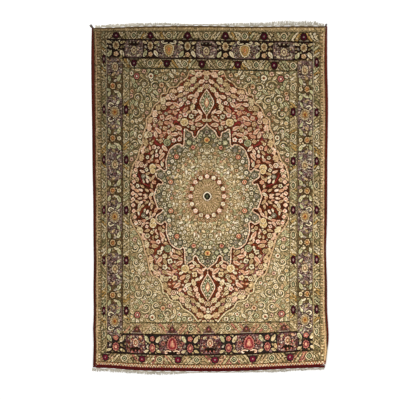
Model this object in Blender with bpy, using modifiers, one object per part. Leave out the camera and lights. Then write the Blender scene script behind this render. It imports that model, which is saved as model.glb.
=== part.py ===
"""A hand-knotted Persian medallion rug, lying flat and face up.

Metres, +Z up. The underside lies on Z = 0, the rug's length runs along Y, and the origin is the middle of
the underside. The knotted pile is one flat slab. Each long side is finished by an overcast selvedge of
two cords, and each end by a narrow flat-woven kilim and a cotton fringe of tapered locks. A tuft of
loose selvedge wool sticks out at each top corner. No edge is straight: each one follows its own table.
"""

import math
import random

import bmesh
import bpy
import numpy as np

MM = 0.001
GAP = 0.3 * MM                 # between pieces that touch

# The knotted slab and its edge finishes
PILE_THICKNESS = 9.0 * MM      # foundation and pile together
PILE_EDGE_ROUND = 1.6 * MM
KILIM_THICKNESS = 3.0 * MM
KILIM_EDGE_ROUND = 0.6 * MM
KILIM_TOP_DEPTH = 7.0 * MM
KILIM_BOTTOM_DEPTH = 10.0 * MM
KILIM_BOTTOM_RIGHT_END = 674.5 * MM
SELVEDGE_HEIGHT = 7.0 * MM
SELVEDGE_CORDS = 2
CORD_ARC_STEPS = 4             # straight steps over the back of one cord

# The fringe and the tufts
STRIP_DEPTH = 4.0 * MM
STRIP_HEIGHT = 2.4 * MM
LOCKS_PER_STATION = 5
LOCK_STEPS = (0.5, 1.0)        # where a lock has its sections, as shares of its length
LOCK_ROOT_WIDTH = 6.4 * MM
LOCK_TIP_WIDTH = 2.6 * MM
LOCK_TIP_HEIGHT = 1.3 * MM
LENGTH_SPREAD = 0.10           # how much a lock's length strays, as a share
LEAN_SPREAD = 0.9 * MM
SEED = 41

# Where the pieces end, along X or along Y
FRINGE_TOP_SPAN = (-671.0 * MM, 668.0 * MM)
FRINGE_BOTTOM_SPAN = (-687.0 * MM, 672.0 * MM)
RIGHT_SELVEDGE_LOW_END = -890.0 * MM
SIDE_STATIONS = 44
END_STATIONS = 26

# Columns: place along the rug's length (Y), place of the outer edge across it (X)
LEFT_EDGE = np.array([
    (-1000.0, -685.0),
    (-900.0, -682.0),
    (-840.0, -681.0),
    (-780.0, -684.0),
    (-710.0, -681.0),
    (-520.0, -682.0),
    (-380.0, -680.0),
    (-250.0, -682.0),
    (20.0, -684.0),
    (150.0, -687.0),
    (420.0, -690.0),
    (560.0, -692.5),
    (900.0, -694.0),
    (1000.0, -691.5),
]) * MM
RIGHT_EDGE = np.array([
    (-1000.0, 673.0),
    (-968.0, 679.0),
    (-904.0, 687.0),
    (-865.0, 693.0),
    (-822.0, 696.5),
    (-775.0, 695.0),
    (-660.0, 688.0),
    (-500.0, 687.0),
    (-380.0, 683.0),
    (-300.0, 681.5),
    (-200.0, 685.0),
    (250.0, 689.0),
    (560.0, 692.5),
    (750.0, 688.5),
    (1005.0, 687.5),
]) * MM

# Columns: place along the rug's length (Y), width of the selvedge
LEFT_SELVEDGE = np.array([
    (-1000.0, 17.5),
    (-850.0, 15.0),
    (-400.0, 14.5),
    (-50.0, 16.0),
    (200.0, 19.0),
    (550.0, 20.0),
    (900.0, 17.0),
    (1000.0, 9.5),
]) * MM
RIGHT_SELVEDGE = np.array([
    (-890.0, 3.0),
    (-863.0, 8.0),
    (-815.0, 11.5),
    (-760.0, 13.0),
    (-500.0, 13.0),
    (-300.0, 11.5),
    (-200.0, 14.0),
    (300.0, 15.0),
    (900.0, 13.5),
    (1005.0, 10.0),
]) * MM

# Columns: place across the rug (X), place of the kilim's middle line along it (Y)
TOP_LINE = np.array([
    (-700.0, 990.0),
    (-600.0, 990.5),
    (-440.0, 997.5),
    (-200.0, 1001.5),
    (20.0, 1001.5),
    (180.0, 997.5),
    (330.0, 998.0),
    (520.0, 1000.5),
    (700.0, 999.0),
]) * MM
BOTTOM_LINE = np.array([
    (-700.0, -988.5),
    (-600.0, -989.5),
    (-450.0, -1002.0),
    (-160.0, -1008.0),
    (100.0, -1009.5),
    (270.0, -1003.5),
    (500.0, -991.5),
    (700.0, -985.5),
]) * MM

# Columns: place across the rug (X), reach past the kilim, sideways lean of the locks' tips
FRINGE_TOP = np.array([
    (-671.0, 15.0, 0.5),
    (-600.0, 20.0, 2.5),
    (-480.0, 21.0, -2.0),
    (-260.0, 19.5, 2.0),
    (-120.0, 12.0, -1.5),
    (20.0, 12.0, 2.0),
    (120.0, 20.0, 3.0),
    (300.0, 25.0, -2.0),
    (530.0, 30.5, 2.5),
    (625.0, 24.0, 4.5),
    (668.0, 13.0, 5.0),
]) * MM
FRINGE_BOTTOM = np.array([
    (-687.0, 24.0, -5.0),
    (-600.0, 24.0, -4.0),
    (-450.0, 24.5, 1.5),
    (-220.0, 24.0, -2.0),
    (-80.0, 13.0, 2.0),
    (120.0, 11.5, -1.5),
    (280.0, 16.0, 1.5),
    (390.0, 21.0, -2.0),
    (540.0, 18.5, 2.0),
    (672.0, 18.5, 4.0),
]) * MM

# Columns: direction in degrees from +X, length in millimetres, one row for each lock of the tuft
TUFT_LEFT = ((140.0, 20.0), (122.0, 23.0), (104.0, 24.0), (84.0, 13.0))
TUFT_RIGHT = ((114.0, 10.0), (98.0, 13.0), (82.0, 12.0))
TUFT_LOCK_TIP_WIDTH = 4.2 * MM

# Piece colours, as linear red, green and blue, and roughness
COLOURS = {
    "pile": ((0.21, 0.12, 0.065), 0.95),
    "selvedge": ((0.075, 0.012, 0.009), 0.9),
    "kilim_top": ((0.085, 0.055, 0.022), 0.9),
    "kilim_bottom": ((0.06, 0.004, 0.004), 0.9),
    "fringe": ((0.56, 0.49, 0.39), 0.92),
    "tuft": ((0.09, 0.075, 0.065), 0.95),
}


def smooth(rows, place, column=1):
    """The value of a table's column at a place between its rows, on a curve through all the rows."""
    places = rows[:, 0]
    values = rows[:, column]
    slopes = np.gradient(values, places)
    place = min(max(place, places[0]), places[-1])
    row = min(int(np.searchsorted(places, place, side="right")) - 1, len(places) - 2)
    span = places[row + 1] - places[row]
    t = (place - places[row]) / span
    rise = values[row + 1] - values[row]
    low_slope = slopes[row] * span
    high_slope = slopes[row + 1] * span
    return values[row] + t * (low_slope + t * (3 * rise - 2 * low_slope - high_slope
                                               + t * (low_slope + high_slope - 2 * rise)))


def polyline(rows, stations):
    """A function that follows a table in straight steps, so that two pieces can share one line."""
    values = [smooth(rows, station) for station in stations]
    return lambda place: float(np.interp(place, stations, values))


def inner_stations(stations, low, high, margin=4 * MM):
    """The stations that lie well between two ends."""
    return [station for station in stations if low + margin < station < high - margin]


class Outline:
    """The lines that the pieces share: the two long edges, the two selvedges and the two end lines."""

    def __init__(self):
        self.across = np.linspace(-700 * MM, 700 * MM, END_STATIONS + 1)
        self.top_line = polyline(TOP_LINE, self.across)
        self.bottom_line = polyline(BOTTOM_LINE, self.across)
        self.top_end = self.top_line(LEFT_EDGE[-1, 1]) + KILIM_TOP_DEPTH / 2
        self.right_top_end = self.top_line(RIGHT_EDGE[-1, 1]) + KILIM_TOP_DEPTH / 2
        self.bottom_end = self.bottom_line(LEFT_EDGE[0, 1]) - KILIM_BOTTOM_DEPTH / 2
        self.left_stations = np.linspace(self.bottom_end, self.top_end, SIDE_STATIONS + 1)
        self.right_stations = np.linspace(RIGHT_SELVEDGE_LOW_END, self.right_top_end, SIDE_STATIONS + 1)
        self.left_edge = polyline(LEFT_EDGE, self.left_stations)
        self.right_edge = polyline(RIGHT_EDGE, self.right_stations)
        self.worn_edge = lambda place: smooth(RIGHT_EDGE, place)
        left_width = polyline(LEFT_SELVEDGE, self.left_stations)
        right_width = polyline(RIGHT_SELVEDGE, self.right_stations)
        self.left_inner = lambda place: self.left_edge(place) + left_width(place)
        self.right_inner = lambda place: self.right_edge(place) - right_width(place)

    def pile_top(self, x):
        return self.top_line(x) - KILIM_TOP_DEPTH / 2 - GAP

    def pile_bottom(self, x):
        return self.bottom_line(x) + KILIM_BOTTOM_DEPTH / 2 + GAP

    def kilim_top_outer(self, x):
        return self.top_line(x) + KILIM_TOP_DEPTH / 2

    def kilim_bottom_outer(self, x):
        return self.bottom_line(x) - KILIM_BOTTOM_DEPTH / 2


def clear_scene():
    for thing in list(bpy.data.objects):
        bpy.data.objects.remove(thing, do_unlink=True)


def add_material(name):
    colour, roughness = COLOURS[name]
    material = bpy.data.materials.new(name)
    material.use_nodes = True
    shader = material.node_tree.nodes["Principled BSDF"]
    shader.inputs["Base Color"].default_value = (*colour, 1.0)
    shader.inputs["Roughness"].default_value = roughness
    shader.inputs["Metallic"].default_value = 0.0
    return material


def add_object(name, mesh, material, collection):
    piece = bpy.data.objects.new(name, mesh)
    mesh.materials.clear()
    mesh.materials.append(material)
    collection.objects.link(piece)
    return piece


def finish_mesh(bm, name):
    bmesh.ops.recalc_face_normals(bm, faces=bm.faces)
    mesh = bpy.data.meshes.new(name)
    bm.to_mesh(mesh)
    bm.free()
    return mesh


def caps_beside(edge):
    """How many of an edge's faces are level."""
    return sum(abs(face.normal.z) > 0.9 for face in edge.link_faces)


def flat_piece(name, outline, thickness, edge_round, material, collection):
    """A flat sheet cut to an outline, standing on Z = 0, with its edges slightly rounded."""
    curve = bpy.data.curves.new(name + "_outline", "CURVE")
    curve.dimensions = "2D"
    curve.fill_mode = "BOTH"
    curve.extrude = thickness / 2
    spline = curve.splines.new("POLY")
    spline.points.add(len(outline) - 1)
    for point, (x, y) in zip(spline.points, outline):
        point.co = (x, y, 0, 1)
    spline.use_cyclic_u = True
    guide = bpy.data.objects.new(name + "_guide", curve)
    guide.location.z = thickness / 2
    collection.objects.link(guide)
    bpy.context.view_layer.update()

    bm = bmesh.new()
    evaluated = guide.evaluated_get(bpy.context.evaluated_depsgraph_get())
    solid = bpy.data.meshes.new_from_object(evaluated)
    bm.from_mesh(solid)
    bmesh.ops.remove_doubles(bm, verts=bm.verts, dist=GAP / 10)
    within_caps = [edge for edge in bm.edges if caps_beside(edge) == 2]
    bmesh.ops.dissolve_edges(bm, edges=within_caps, use_verts=False)
    rim_weight = bm.edges.layers.float.new("bevel_weight_edge")
    for edge in bm.edges:
        edge[rim_weight] = 1.0 if caps_beside(edge) == 1 else 0.0
    piece = add_object(name, finish_mesh(bm, name), material, collection)
    piece.matrix_world = guide.matrix_world.copy()
    bpy.data.objects.remove(guide, do_unlink=True)
    bpy.data.meshes.remove(solid)

    rounding = piece.modifiers.new("rounded_edge", "BEVEL")
    rounding.width = edge_round
    rounding.segments = 1
    rounding.limit_method = "WEIGHT"
    return piece


def pile_outline(shape):
    """The slab's outline, counter-clockwise from its bottom left corner."""
    low_left = shape.left_inner(shape.bottom_end + KILIM_BOTTOM_DEPTH) + GAP
    top_left = shape.left_inner(shape.top_end - KILIM_TOP_DEPTH) + GAP
    top_right = shape.right_inner(shape.right_top_end - KILIM_TOP_DEPTH) - GAP
    low_right = shape.worn_edge(shape.pile_bottom(KILIM_BOTTOM_RIGHT_END))

    bottom = [low_left, *inner_stations(shape.across, low_left, low_right), low_right]
    points = [(x, shape.pile_bottom(x)) for x in bottom]

    # Past the low end of the right selvedge the wrapping is worn away and the pile reaches the edge.
    jog = RIGHT_SELVEDGE_LOW_END - GAP
    worn = np.linspace(shape.pile_bottom(low_right), jog, 5)[1:]
    points += [(shape.worn_edge(y), y) for y in worn]
    points += [(shape.right_inner(jog) - GAP, jog)]
    side = inner_stations(shape.right_stations, jog, shape.pile_top(top_right))
    points += [(shape.right_inner(y) - GAP, y) for y in side]

    top = [top_left, *inner_stations(shape.across, top_left, top_right), top_right]
    points += [(x, shape.pile_top(x)) for x in reversed(top)]
    side = inner_stations(shape.left_stations, shape.pile_bottom(low_left), shape.pile_top(top_left))
    points += [(shape.left_inner(y) + GAP, y) for y in reversed(side)]
    return points


def kilim_outline(shape, line, depth, left, right):
    """A narrow band of even depth along an end line."""
    places = [left, *inner_stations(shape.across, left, right), right]
    upper = [(x, line(x) + depth / 2) for x in reversed(places)]
    lower = [(x, line(x) - depth / 2) for x in places]
    return lower + upper


def selvedge_section(outer, inner, y):
    """One section of a selvedge: flat beneath, with the backs of its cords side by side on top."""
    arc = math.pi / CORD_ARC_STEPS
    half = SELVEDGE_HEIGHT / 2
    points = []
    for cord in range(SELVEDGE_CORDS):
        first_step = 0 if cord == 0 else 1
        for step in range(first_step, CORD_ARC_STEPS + 1):
            share = (cord + 0.5 - 0.5 * math.cos(arc * step)) / SELVEDGE_CORDS
            points.append((outer + (inner - outer) * share, y, half + half * math.sin(arc * step)))
    for share in (1 - 0.12 / SELVEDGE_CORDS, 0.12 / SELVEDGE_CORDS):
        points.append((outer + (inner - outer) * share, y, 0.0))
    return points


def selvedge(name, outer_edge, inner_edge, stations, material, collection):
    """An overcast edge band: a loft between sections of unlike width."""
    bm = bmesh.new()
    rings = []
    for y in stations:
        section = selvedge_section(outer_edge(y), inner_edge(y), y)
        rings.append([bm.verts.new(point) for point in section])
    for low, high in zip(rings, rings[1:]):
        join_rings(bm, low, high)
    bm.faces.new(rings[0])
    bm.faces.new(rings[-1])
    piece = add_object(name, finish_mesh(bm, name), material, collection)
    piece.data.shade_smooth()
    piece.data.set_sharp_from_angle(angle=math.radians(50))
    return piece


def join_rings(bm, first, second):
    count = len(first)
    for i in range(count):
        following = (i + 1) % count
        bm.faces.new((first[i], first[following], second[following], second[i]))


def lock_sections(root, heading, length, lean, root_width, tip_width):
    """The sections of one lock past its root: middle point, sideways direction, width and height.

    The sideways direction has the sense of +X, so that every lock's left side stays its left side.
    """
    sense = math.copysign(1.0, heading[1])
    side = (sense * heading[1], -sense * heading[0])
    sections = []
    for t in LOCK_STEPS:
        forward = length * t
        drift = lean * t * t
        middle = (root[0] + heading[0] * forward + side[0] * drift,
                  root[1] + heading[1] * forward + side[1] * drift)
        width = root_width + (tip_width - root_width) * t
        height = STRIP_HEIGHT + (LOCK_TIP_HEIGHT - STRIP_HEIGHT) * t
        sections.append((middle, side, width, height))
    return sections


def add_strip_with_locks(name, back, roots, locks, material, collection):
    """A narrow strip with a row of four-sided locks drawn out of its front wall, level underneath.

    back holds the strip's back corners, one more than there are locks. roots holds each lock's two
    root points on the front wall, and locks holds the sections of each lock past its root.
    """
    bm = bmesh.new()
    back_low = [bm.verts.new((x, y, 0)) for x, y in back]
    back_high = [bm.verts.new((x, y, STRIP_HEIGHT)) for x, y in back]
    low = [[bm.verts.new((x, y, 0)) for x, y in pair] for pair in roots]
    high = [[bm.verts.new((x, y, STRIP_HEIGHT)) for x, y in pair] for pair in roots]

    for i in range(len(roots)):
        for level_back, level in ((back_low, low), (back_high, high)):
            bm.faces.new((level_back[i], level_back[i + 1], level[i][1], level[i][0]))
        bm.faces.new((back_low[i], back_low[i + 1], back_high[i + 1], back_high[i]))
    for i in range(len(roots) - 1):
        for level_back, level in ((back_low, low), (back_high, high)):
            bm.faces.new((level[i][1], level_back[i + 1], level[i + 1][0]))
        bm.faces.new((low[i][1], low[i + 1][0], high[i + 1][0], high[i][1]))
    bm.faces.new((back_low[0], low[0][0], high[0][0], back_high[0]))
    bm.faces.new((back_low[-1], low[-1][1], high[-1][1], back_high[-1]))

    for i, sections in enumerate(locks):
        ring = [low[i][0], low[i][1], high[i][1], high[i][0]]
        for middle, side, width, height in sections:
            corners = [(-width / 2, 0.0), (width / 2, 0.0), (width / 2, height), (-width / 2, height)]
            following = [bm.verts.new((middle[0] + side[0] * across, middle[1] + side[1] * across, z))
                         for across, z in corners]
            join_rings(bm, ring, following)
            ring = following
        bm.faces.new(ring)
    return add_object(name, finish_mesh(bm, name), material, collection)


def fringe(name, rows, span, kilim_edge, outward, seed, material, collection):
    """The cotton fringe of one end: a strip along the kilim, and locks of uneven length and lean."""
    rng = random.Random(seed)
    count = END_STATIONS * LOCKS_PER_STATION
    ends = np.linspace(span[0], span[1], count + 1)
    pitch = ends[1] - ends[0]
    back = [(x, kilim_edge(x) + outward * GAP) for x in ends]
    roots = []
    locks = []
    for x in ends[:-1] + pitch / 2:
        front = kilim_edge(x) + outward * (GAP + STRIP_DEPTH)
        roots.append([(x - LOCK_ROOT_WIDTH / 2, front), (x + LOCK_ROOT_WIDTH / 2, front)])
        length = (smooth(rows, x) - STRIP_DEPTH) * (1 + rng.uniform(-LENGTH_SPREAD, LENGTH_SPREAD))
        lean = smooth(rows, x, column=2) + rng.uniform(-LEAN_SPREAD, LEAN_SPREAD)
        locks.append(lock_sections((x, front), (0.0, outward), length, lean, LOCK_ROOT_WIDTH, LOCK_TIP_WIDTH))
    return add_strip_with_locks(name, back, roots, locks, material, collection)


def tuft(name, rows, base_left, base_right, base_y, material, collection):
    """Loose selvedge wool: a small base on the selvedge's end, with locks that fan out from it."""
    count = len(rows)
    ends = np.linspace(base_left, base_right, count + 1)
    pitch = ends[1] - ends[0]
    back = [(x, base_y + GAP) for x in ends]
    front = base_y + GAP + STRIP_DEPTH
    root_width = 0.8 * pitch
    roots = []
    locks = []
    for x, (degrees, length) in zip(ends[:-1] + pitch / 2, rows):
        heading = (math.cos(math.radians(degrees)), math.sin(math.radians(degrees)))
        roots.append([(x - root_width / 2, front), (x + root_width / 2, front)])
        locks.append(lock_sections((x, front), heading, length * MM, 0.0, root_width, TUFT_LOCK_TIP_WIDTH))
    return add_strip_with_locks(name, back, roots, locks, material, collection)


def build():
    clear_scene()
    collection = bpy.data.collections.new("persian_rug")
    bpy.context.scene.collection.children.link(collection)
    materials = {name: add_material(name) for name in COLOURS}
    shape = Outline()

    flat_piece("pile", pile_outline(shape), PILE_THICKNESS, PILE_EDGE_ROUND, materials["pile"], collection)
    selvedge("selvedge_left", shape.left_edge, shape.left_inner, shape.left_stations,
             materials["selvedge"], collection)
    selvedge("selvedge_right", shape.right_edge, shape.right_inner, shape.right_stations,
             materials["selvedge"], collection)

    left = shape.left_inner(shape.top_end) + GAP
    right = shape.right_inner(shape.right_top_end) - GAP
    flat_piece("kilim_top", kilim_outline(shape, shape.top_line, KILIM_TOP_DEPTH, left, right),
               KILIM_THICKNESS, KILIM_EDGE_ROUND, materials["kilim_top"], collection)
    left = shape.left_inner(shape.bottom_end) + GAP
    flat_piece("kilim_bottom",
               kilim_outline(shape, shape.bottom_line, KILIM_BOTTOM_DEPTH, left, KILIM_BOTTOM_RIGHT_END),
               KILIM_THICKNESS, KILIM_EDGE_ROUND, materials["kilim_bottom"], collection)

    fringe("fringe_top", FRINGE_TOP, FRINGE_TOP_SPAN, shape.kilim_top_outer, 1.0, SEED,
           materials["fringe"], collection)
    fringe("fringe_bottom", FRINGE_BOTTOM, FRINGE_BOTTOM_SPAN, shape.kilim_bottom_outer, -1.0, SEED + 1,
           materials["fringe"], collection)
    tuft("tuft_left", TUFT_LEFT, shape.left_edge(shape.top_end), shape.left_inner(shape.top_end),
         shape.top_end, materials["tuft"], collection)
    top = shape.right_top_end
    tuft("tuft_right", TUFT_RIGHT, shape.right_inner(top), shape.right_edge(top), top,
         materials["tuft"], collection)


build()
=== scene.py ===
"""Visual model of a hand-knotted medallion rug: its knot chart, pile, edges, fringe and materials."""
import math

import bpy
import numpy as np
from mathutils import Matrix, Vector


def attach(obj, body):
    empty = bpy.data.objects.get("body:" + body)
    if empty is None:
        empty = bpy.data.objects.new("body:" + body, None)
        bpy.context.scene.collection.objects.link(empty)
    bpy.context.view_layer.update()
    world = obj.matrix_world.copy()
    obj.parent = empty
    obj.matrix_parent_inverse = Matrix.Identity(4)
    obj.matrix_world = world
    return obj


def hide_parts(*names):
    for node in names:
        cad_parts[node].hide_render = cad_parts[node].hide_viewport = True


MM = 0.001
TAU = 2 * math.pi
KNOTS = 4            # knots to a layout square
SQUARE = 0.00585     # metres

# Wool colours, as sRGB.
WOOL = {
    "black": (26, 17, 10), "bark": (44, 27, 14), "umber": (68, 44, 24), "walnut": (100, 72, 42),
    "moss": (58, 52, 30), "olive": (92, 80, 48), "sage": (128, 120, 78), "reed": (172, 166, 120),
    "khaki": (150, 128, 88), "straw": (182, 158, 110), "sand": (204, 178, 132), "dun": (118, 98, 66),
    "ivory": (234, 216, 182), "cream": (216, 196, 156), "oat": (194, 170, 128), "milk": (240, 228, 202),
    "gold": (176, 134, 70), "honey": (204, 168, 102), "butter": (222, 190, 138), "amber": (180, 112, 60),
    "peach": (210, 152, 112), "salmon": (194, 132, 102), "rust": (120, 62, 32), "brick": (158, 60, 40),
    "blood": (82, 33, 12), "ox": (48, 20, 5), "garnet": (108, 46, 24), "crimson": (126, 42, 42),
    "rose": (172, 98, 88), "pink": (210, 164, 134), "blush": (232, 194, 164), "shell": (222, 178, 144),
    "maroon": (58, 10, 24), "plum": (78, 42, 46), "mauve": (112, 84, 78), "lilac": (150, 124, 116),
    "dove": (170, 154, 138), "ash": (100, 92, 76), "fern": (86, 88, 62), "pine": (44, 44, 28),
    "lichen": (154, 152, 112), "slate": (92, 96, 92), "tan": (168, 138, 96), "fawn": (140, 108, 72),
    "coal": (34, 26, 24), "wine": (74, 14, 18), "biscuit": (188, 152, 108), "moth": (136, 122, 100),
    "claret": (92, 16, 38),
}
INDEX = {name: i for i, name in enumerate(WOOL)}


# ---------------- lines and outlines, in layout squares

def spline(points, steps=5):
    """A smooth polyline through the points (Catmull-Rom)."""
    p = np.pad(np.asarray(points, float), ((1, 1), (0, 0)), mode="edge")
    a, b, c, d = (p[k:len(p) - 3 + k, None] for k in range(4))
    t = np.arange(steps)[:, None] / steps
    curve = 2 * b + (c - a) * t + (2 * a - 5 * b + 4 * c - d) * t ** 2 + (3 * b - a - 3 * c + d) * t ** 3
    return np.r_[curve.reshape(-1, 2) / 2, p[-1:]]


def nearest(line, x, y):
    """Distance from each x, y to a polyline, and how far along the line its nearest point is."""
    best, run, start = np.full(np.shape(x), np.inf), np.zeros(np.shape(x)), 0.0
    for (ax, ay), (bx, by) in zip(line, line[1:]):
        ex, ey = bx - ax, by - ay
        length = math.hypot(ex, ey) + 1e-6
        t = np.clip(((x - ax) * ex + (y - ay) * ey) / length ** 2, 0, 1)
        gap = (x - ax - ex * t) ** 2 + (y - ay - ey * t) ** 2
        run = np.where(gap < best, start + length * t, run)
        best = np.minimum(best, gap)
        start += length
    return np.sqrt(best), run


def distance(outline, x, y):
    """Distance from each x, y to a closed outline, negative inside it."""
    loop = np.array([*outline, outline[0]], float)
    inside = False
    for (ax, ay), (bx, by) in zip(loop, loop[1:]):
        if ay != by:
            inside = inside ^ ((ay > y) != (by > y)) & (x < ax + (bx - ax) * (y - ay) / (by - ay))
    return np.where(inside, -1, 1) * nearest(loop, x, y)[0]


def along(line, spacing):
    """Evenly spaced places on a polyline."""
    run = np.r_[0, np.cumsum(np.hypot(*np.diff(line, axis=0).T))]
    count = max(int(run[-1] / spacing), 1)
    at = (np.arange(count) + 0.5) * run[-1] / count
    return np.c_[np.interp(at, run, line[:, 0]), np.interp(at, run, line[:, 1])]


def rounded(width, height, power):
    """A rounded box (power over 2) or diamond (under 2) outline."""
    a = np.linspace(0, TAU, 28, endpoint=False)
    c, s = np.cos(a), np.sin(a)
    return np.c_[width / 2 * np.sign(c) * np.abs(c) ** (2 / power),
                 height / 2 * np.sign(s) * np.abs(s) ** (2 / power)]


def almond(width, height, power):
    """An outline that is pointed at both ends."""
    t = np.linspace(-1, 1, 16)
    side = np.c_[width / 2 * (1 - np.abs(t) ** power), t * height / 2]
    return np.r_[side, (side * (-1, 1))[::-1][1:-1]]


def clamp(value, most):
    """The whole part of a value, kept from 0 to the most."""
    return min(max(int(value), 0), most)


# ---------------- the chart

def pairs(note):
    """A note such as '1 ox 0.72 shell', read as numbers with their wools."""
    words = note.split()
    return [(float(number), wool) for number, wool in zip(words[::2], words[1::2])]


def mottle(cells, shade, where, note):
    """Mixes wools over a region, each by its share of the knots."""
    start = 0.0
    for share, wool in pairs(note):
        cells[where & (shade >= start) & (shade < start + share)] = INDEX[wool]
        start += share


class Chart:
    """Squared paper: one wool for each knot, painted motif by motif. Places and sizes are in layout squares,
    turns in radians, and a motif's note gives the rings of wool that it is made of."""

    def __init__(self, left, right, low, high, ground, seed):
        self.left, self.low, self.high = left, low, high
        self.rng = np.random.default_rng(seed)
        shape = (round((high - low) * KNOTS), round((right - left) * KNOTS))
        self.cells = np.full(shape, INDEX[ground], np.uint8)
        self.taken = np.zeros(shape, bool)
        self.x = left + (np.arange(shape[1]) + 0.5) / KNOTS
        self.y = low + (np.arange(shape[0]) + 0.5) / KNOTS

    def pick(self, items):
        return items[self.rng.integers(len(items))]

    def any_turn(self):
        return self.rng.random() * TAU

    def window(self, x, y, reach, reach_y):
        """The cells round x, y, and each one's place from there."""
        rows, columns = self.cells.shape
        across = slice(clamp((x - reach - self.left) * KNOTS, columns),
                       clamp((x + reach - self.left) * KNOTS + 2, columns))
        up = slice(clamp((y - reach_y - self.low) * KNOTS, rows),
                   clamp((y + reach_y - self.low) * KNOTS + 2, rows))
        return (up, across), self.x[None, across] - x, self.y[up, None] - y

    def turned(self, x, y, reach, turn=0.0):
        """The cells round x, y, and each one's place in axes that are turned."""
        part, u, v = self.window(x, y, reach, reach)
        cosine, sine = math.cos(turn), math.sin(turn)
        return part, u * cosine + v * sine, v * cosine - u * sine

    def beside(self, line, width):
        """The cells near a polyline, each one's distance from it, and how far along it that is."""
        line = np.asarray(line, float)
        middle = (line.min(0) + line.max(0)) / 2
        part, u, v = self.turned(*middle, np.abs(line - middle).max() + width)
        return part, *nearest(line - middle, u, v)

    def dye(self, part, where, wool, taken=True):
        """Gives one wool to cells of a window, and takes their ground."""
        self.cells[part][where] = INDEX[wool]
        self.taken[part][where] |= taken

    def free(self, x, y, reach):
        """Whether nothing has taken the ground round x, y."""
        part, u, v = self.window(x, y, reach, reach)
        return not (self.taken[part] & (np.hypot(u, v) < reach)).any()

    def value(self, field, x, y):
        """What an array laid over the chart holds at x, y."""
        rows, columns = self.cells.shape
        return field[clamp((y - self.low) * KNOTS, rows - 1), clamp((x - self.left) * KNOTS, columns - 1)]

    def mix(self, x, y, reach, reach_y, note):
        """Mixes wools over a rectangle."""
        part, _, _ = self.window(x, y, reach, reach_y)
        mottle(self.cells[part], self.rng.random(self.cells[part].shape), True, note)

    def band(self, x0, x1, y0, y1, wool, taken=True):
        """A rectangle of one wool."""
        left, right = (round((x - self.left) * KNOTS) for x in sorted((x0, x1)))
        low, high = (round((y - self.low) * KNOTS) for y in (y0, y1))
        self.dye((slice(max(low, 0), high), slice(max(left, 0), right)), ..., wool, taken)

    def bloom(self, x, y, size, note, petals=6, turn=0.0, notch=0.2, tall=1.0):
        """A round flower: rings as shares of the radius, the rim scalloped into petals."""
        part, u, v = self.turned(x, y, size * max(tall, 1) + 0.5, turn)
        v = v / tall
        rim = size * (1 - notch + notch * np.abs(np.cos(petals * np.arctan2(v, u) / 2)))
        for limit, wool in pairs(note):
            self.dye(part, np.hypot(u, v) / rim < limit, wool)

    def leaf(self, x, y, length, width, turn, note, bend=0.0, teeth=0):
        """A pointed leaf centred on x, y: rings as shares of its half width."""
        part, u, v = self.turned(x, y, length * 0.5 + width + abs(bend) + 0.5, turn)
        t = np.clip(u / length + 0.5, 0, 1)
        half = width * 0.5 * np.sin(math.pi * t ** 0.8) ** 1.05 + 1e-6
        if teeth:
            half = half * (0.7 + 0.3 * np.abs(np.sin(math.pi * teeth * t)))
        share = np.abs(v - bend * (1 - 4 * (t - 0.5) ** 2)) / half
        for limit, wool in pairs(note):
            off_tip = np.abs(u) <= length * 0.5 * (0.45 + 0.55 * limit)
            self.dye(part, (share < limit) & off_tip, wool)

    def shape(self, x, y, outline, note):
        """A closed outline: rings by their depth in squares inside it (negative outside)."""
        part, u, v = self.turned(x, y, np.abs(outline).max() * 1.45 + 1.5)
        depth = -distance(outline, u, v)
        for start, wool in pairs(note):
            self.dye(part, depth > start, wool)

    def stroke(self, line, width, wool, taken=True):
        """A line of one wool along a polyline."""
        part, gap, _ = self.beside(line, width)
        self.dye(part, gap < width / 2, wool, taken)

    def ribbon(self, line, width, wools, vein="tan", every=8.0):
        """Comb-edged leaves end to end along a polyline."""
        part, gap, run = self.beside(line, width)
        half = width / 2 * (0.62 + 0.38 * np.abs(np.sin(math.pi * run / 2.2)))
        half *= np.abs(np.sin(math.pi * run / every)) ** 0.55
        self.dye(part, gap < half + 0.7, "ox")
        for k, wool in enumerate(wools):
            self.dye(part, (gap < half) & ((run / every).astype(int) % len(wools) == k), wool)
        self.dye(part, (gap < 0.3) & (half > 0.36 * width), vein)

    def place(self, *rows, stretch=1.0):
        """Flowers with a place of their own: x, y, radius, note, petals."""
        for x, y, radius, note, petals in rows:
            self.bloom(x, y * stretch, radius, note, petals=petals, notch=0.12)

    def scatter(self, allowed, *passes, mirror=True):
        """Throws motifs one after another and keeps those that land on free ground. A pass gives what draws
        them, the number of tries, the least and most size, and the gap to leave round them."""
        rows, columns = self.cells.shape
        for draw, tries, least, most, gap in passes:
            for _ in range(tries):
                x = self.left + self.rng.random() * columns / KNOTS
                y = self.low + self.rng.random() * rows / KNOTS
                size = least + (most - least) * self.rng.random()
                if mirror and x < size:
                    x = 0.0 if x < size * 0.55 else size
                if allowed(x, y, size) and self.free(x, y, size + gap):
                    draw(x, y, size)

    def blooms(self, kinds):
        """Draws a flower of one of the kinds."""
        def draw(x, y, size):
            self.bloom(x, y, size, self.pick(kinds), petals=4 + self.rng.integers(3), turn=self.any_turn(),
                       notch=0.3)
        return draw

    def leaves(self, wools, outline, way=None, wide=2.1):
        """Draws a leaf of one of the wools, with a vein where it is large."""
        def draw(x, y, size):
            turn = self.any_turn() if way is None else way(x, y) + self.rng.normal() * 0.7
            note = f"1 {outline} 0.74 {self.pick(wools)}" + (" 0.16 fawn" if size > 1.8 else "")
            self.leaf(x, y, size * 3.3, size * wide, turn, note, bend=0.7 * (self.rng.random() - 0.5))
        return draw

    def specks(self, wools):
        """Draws a fleck of one of the wools."""
        def draw(x, y, size):
            self.leaf(x, y, size * 2.8, size * 1.8, self.any_turn(), "1 " + self.pick(wools))
        return draw


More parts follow.
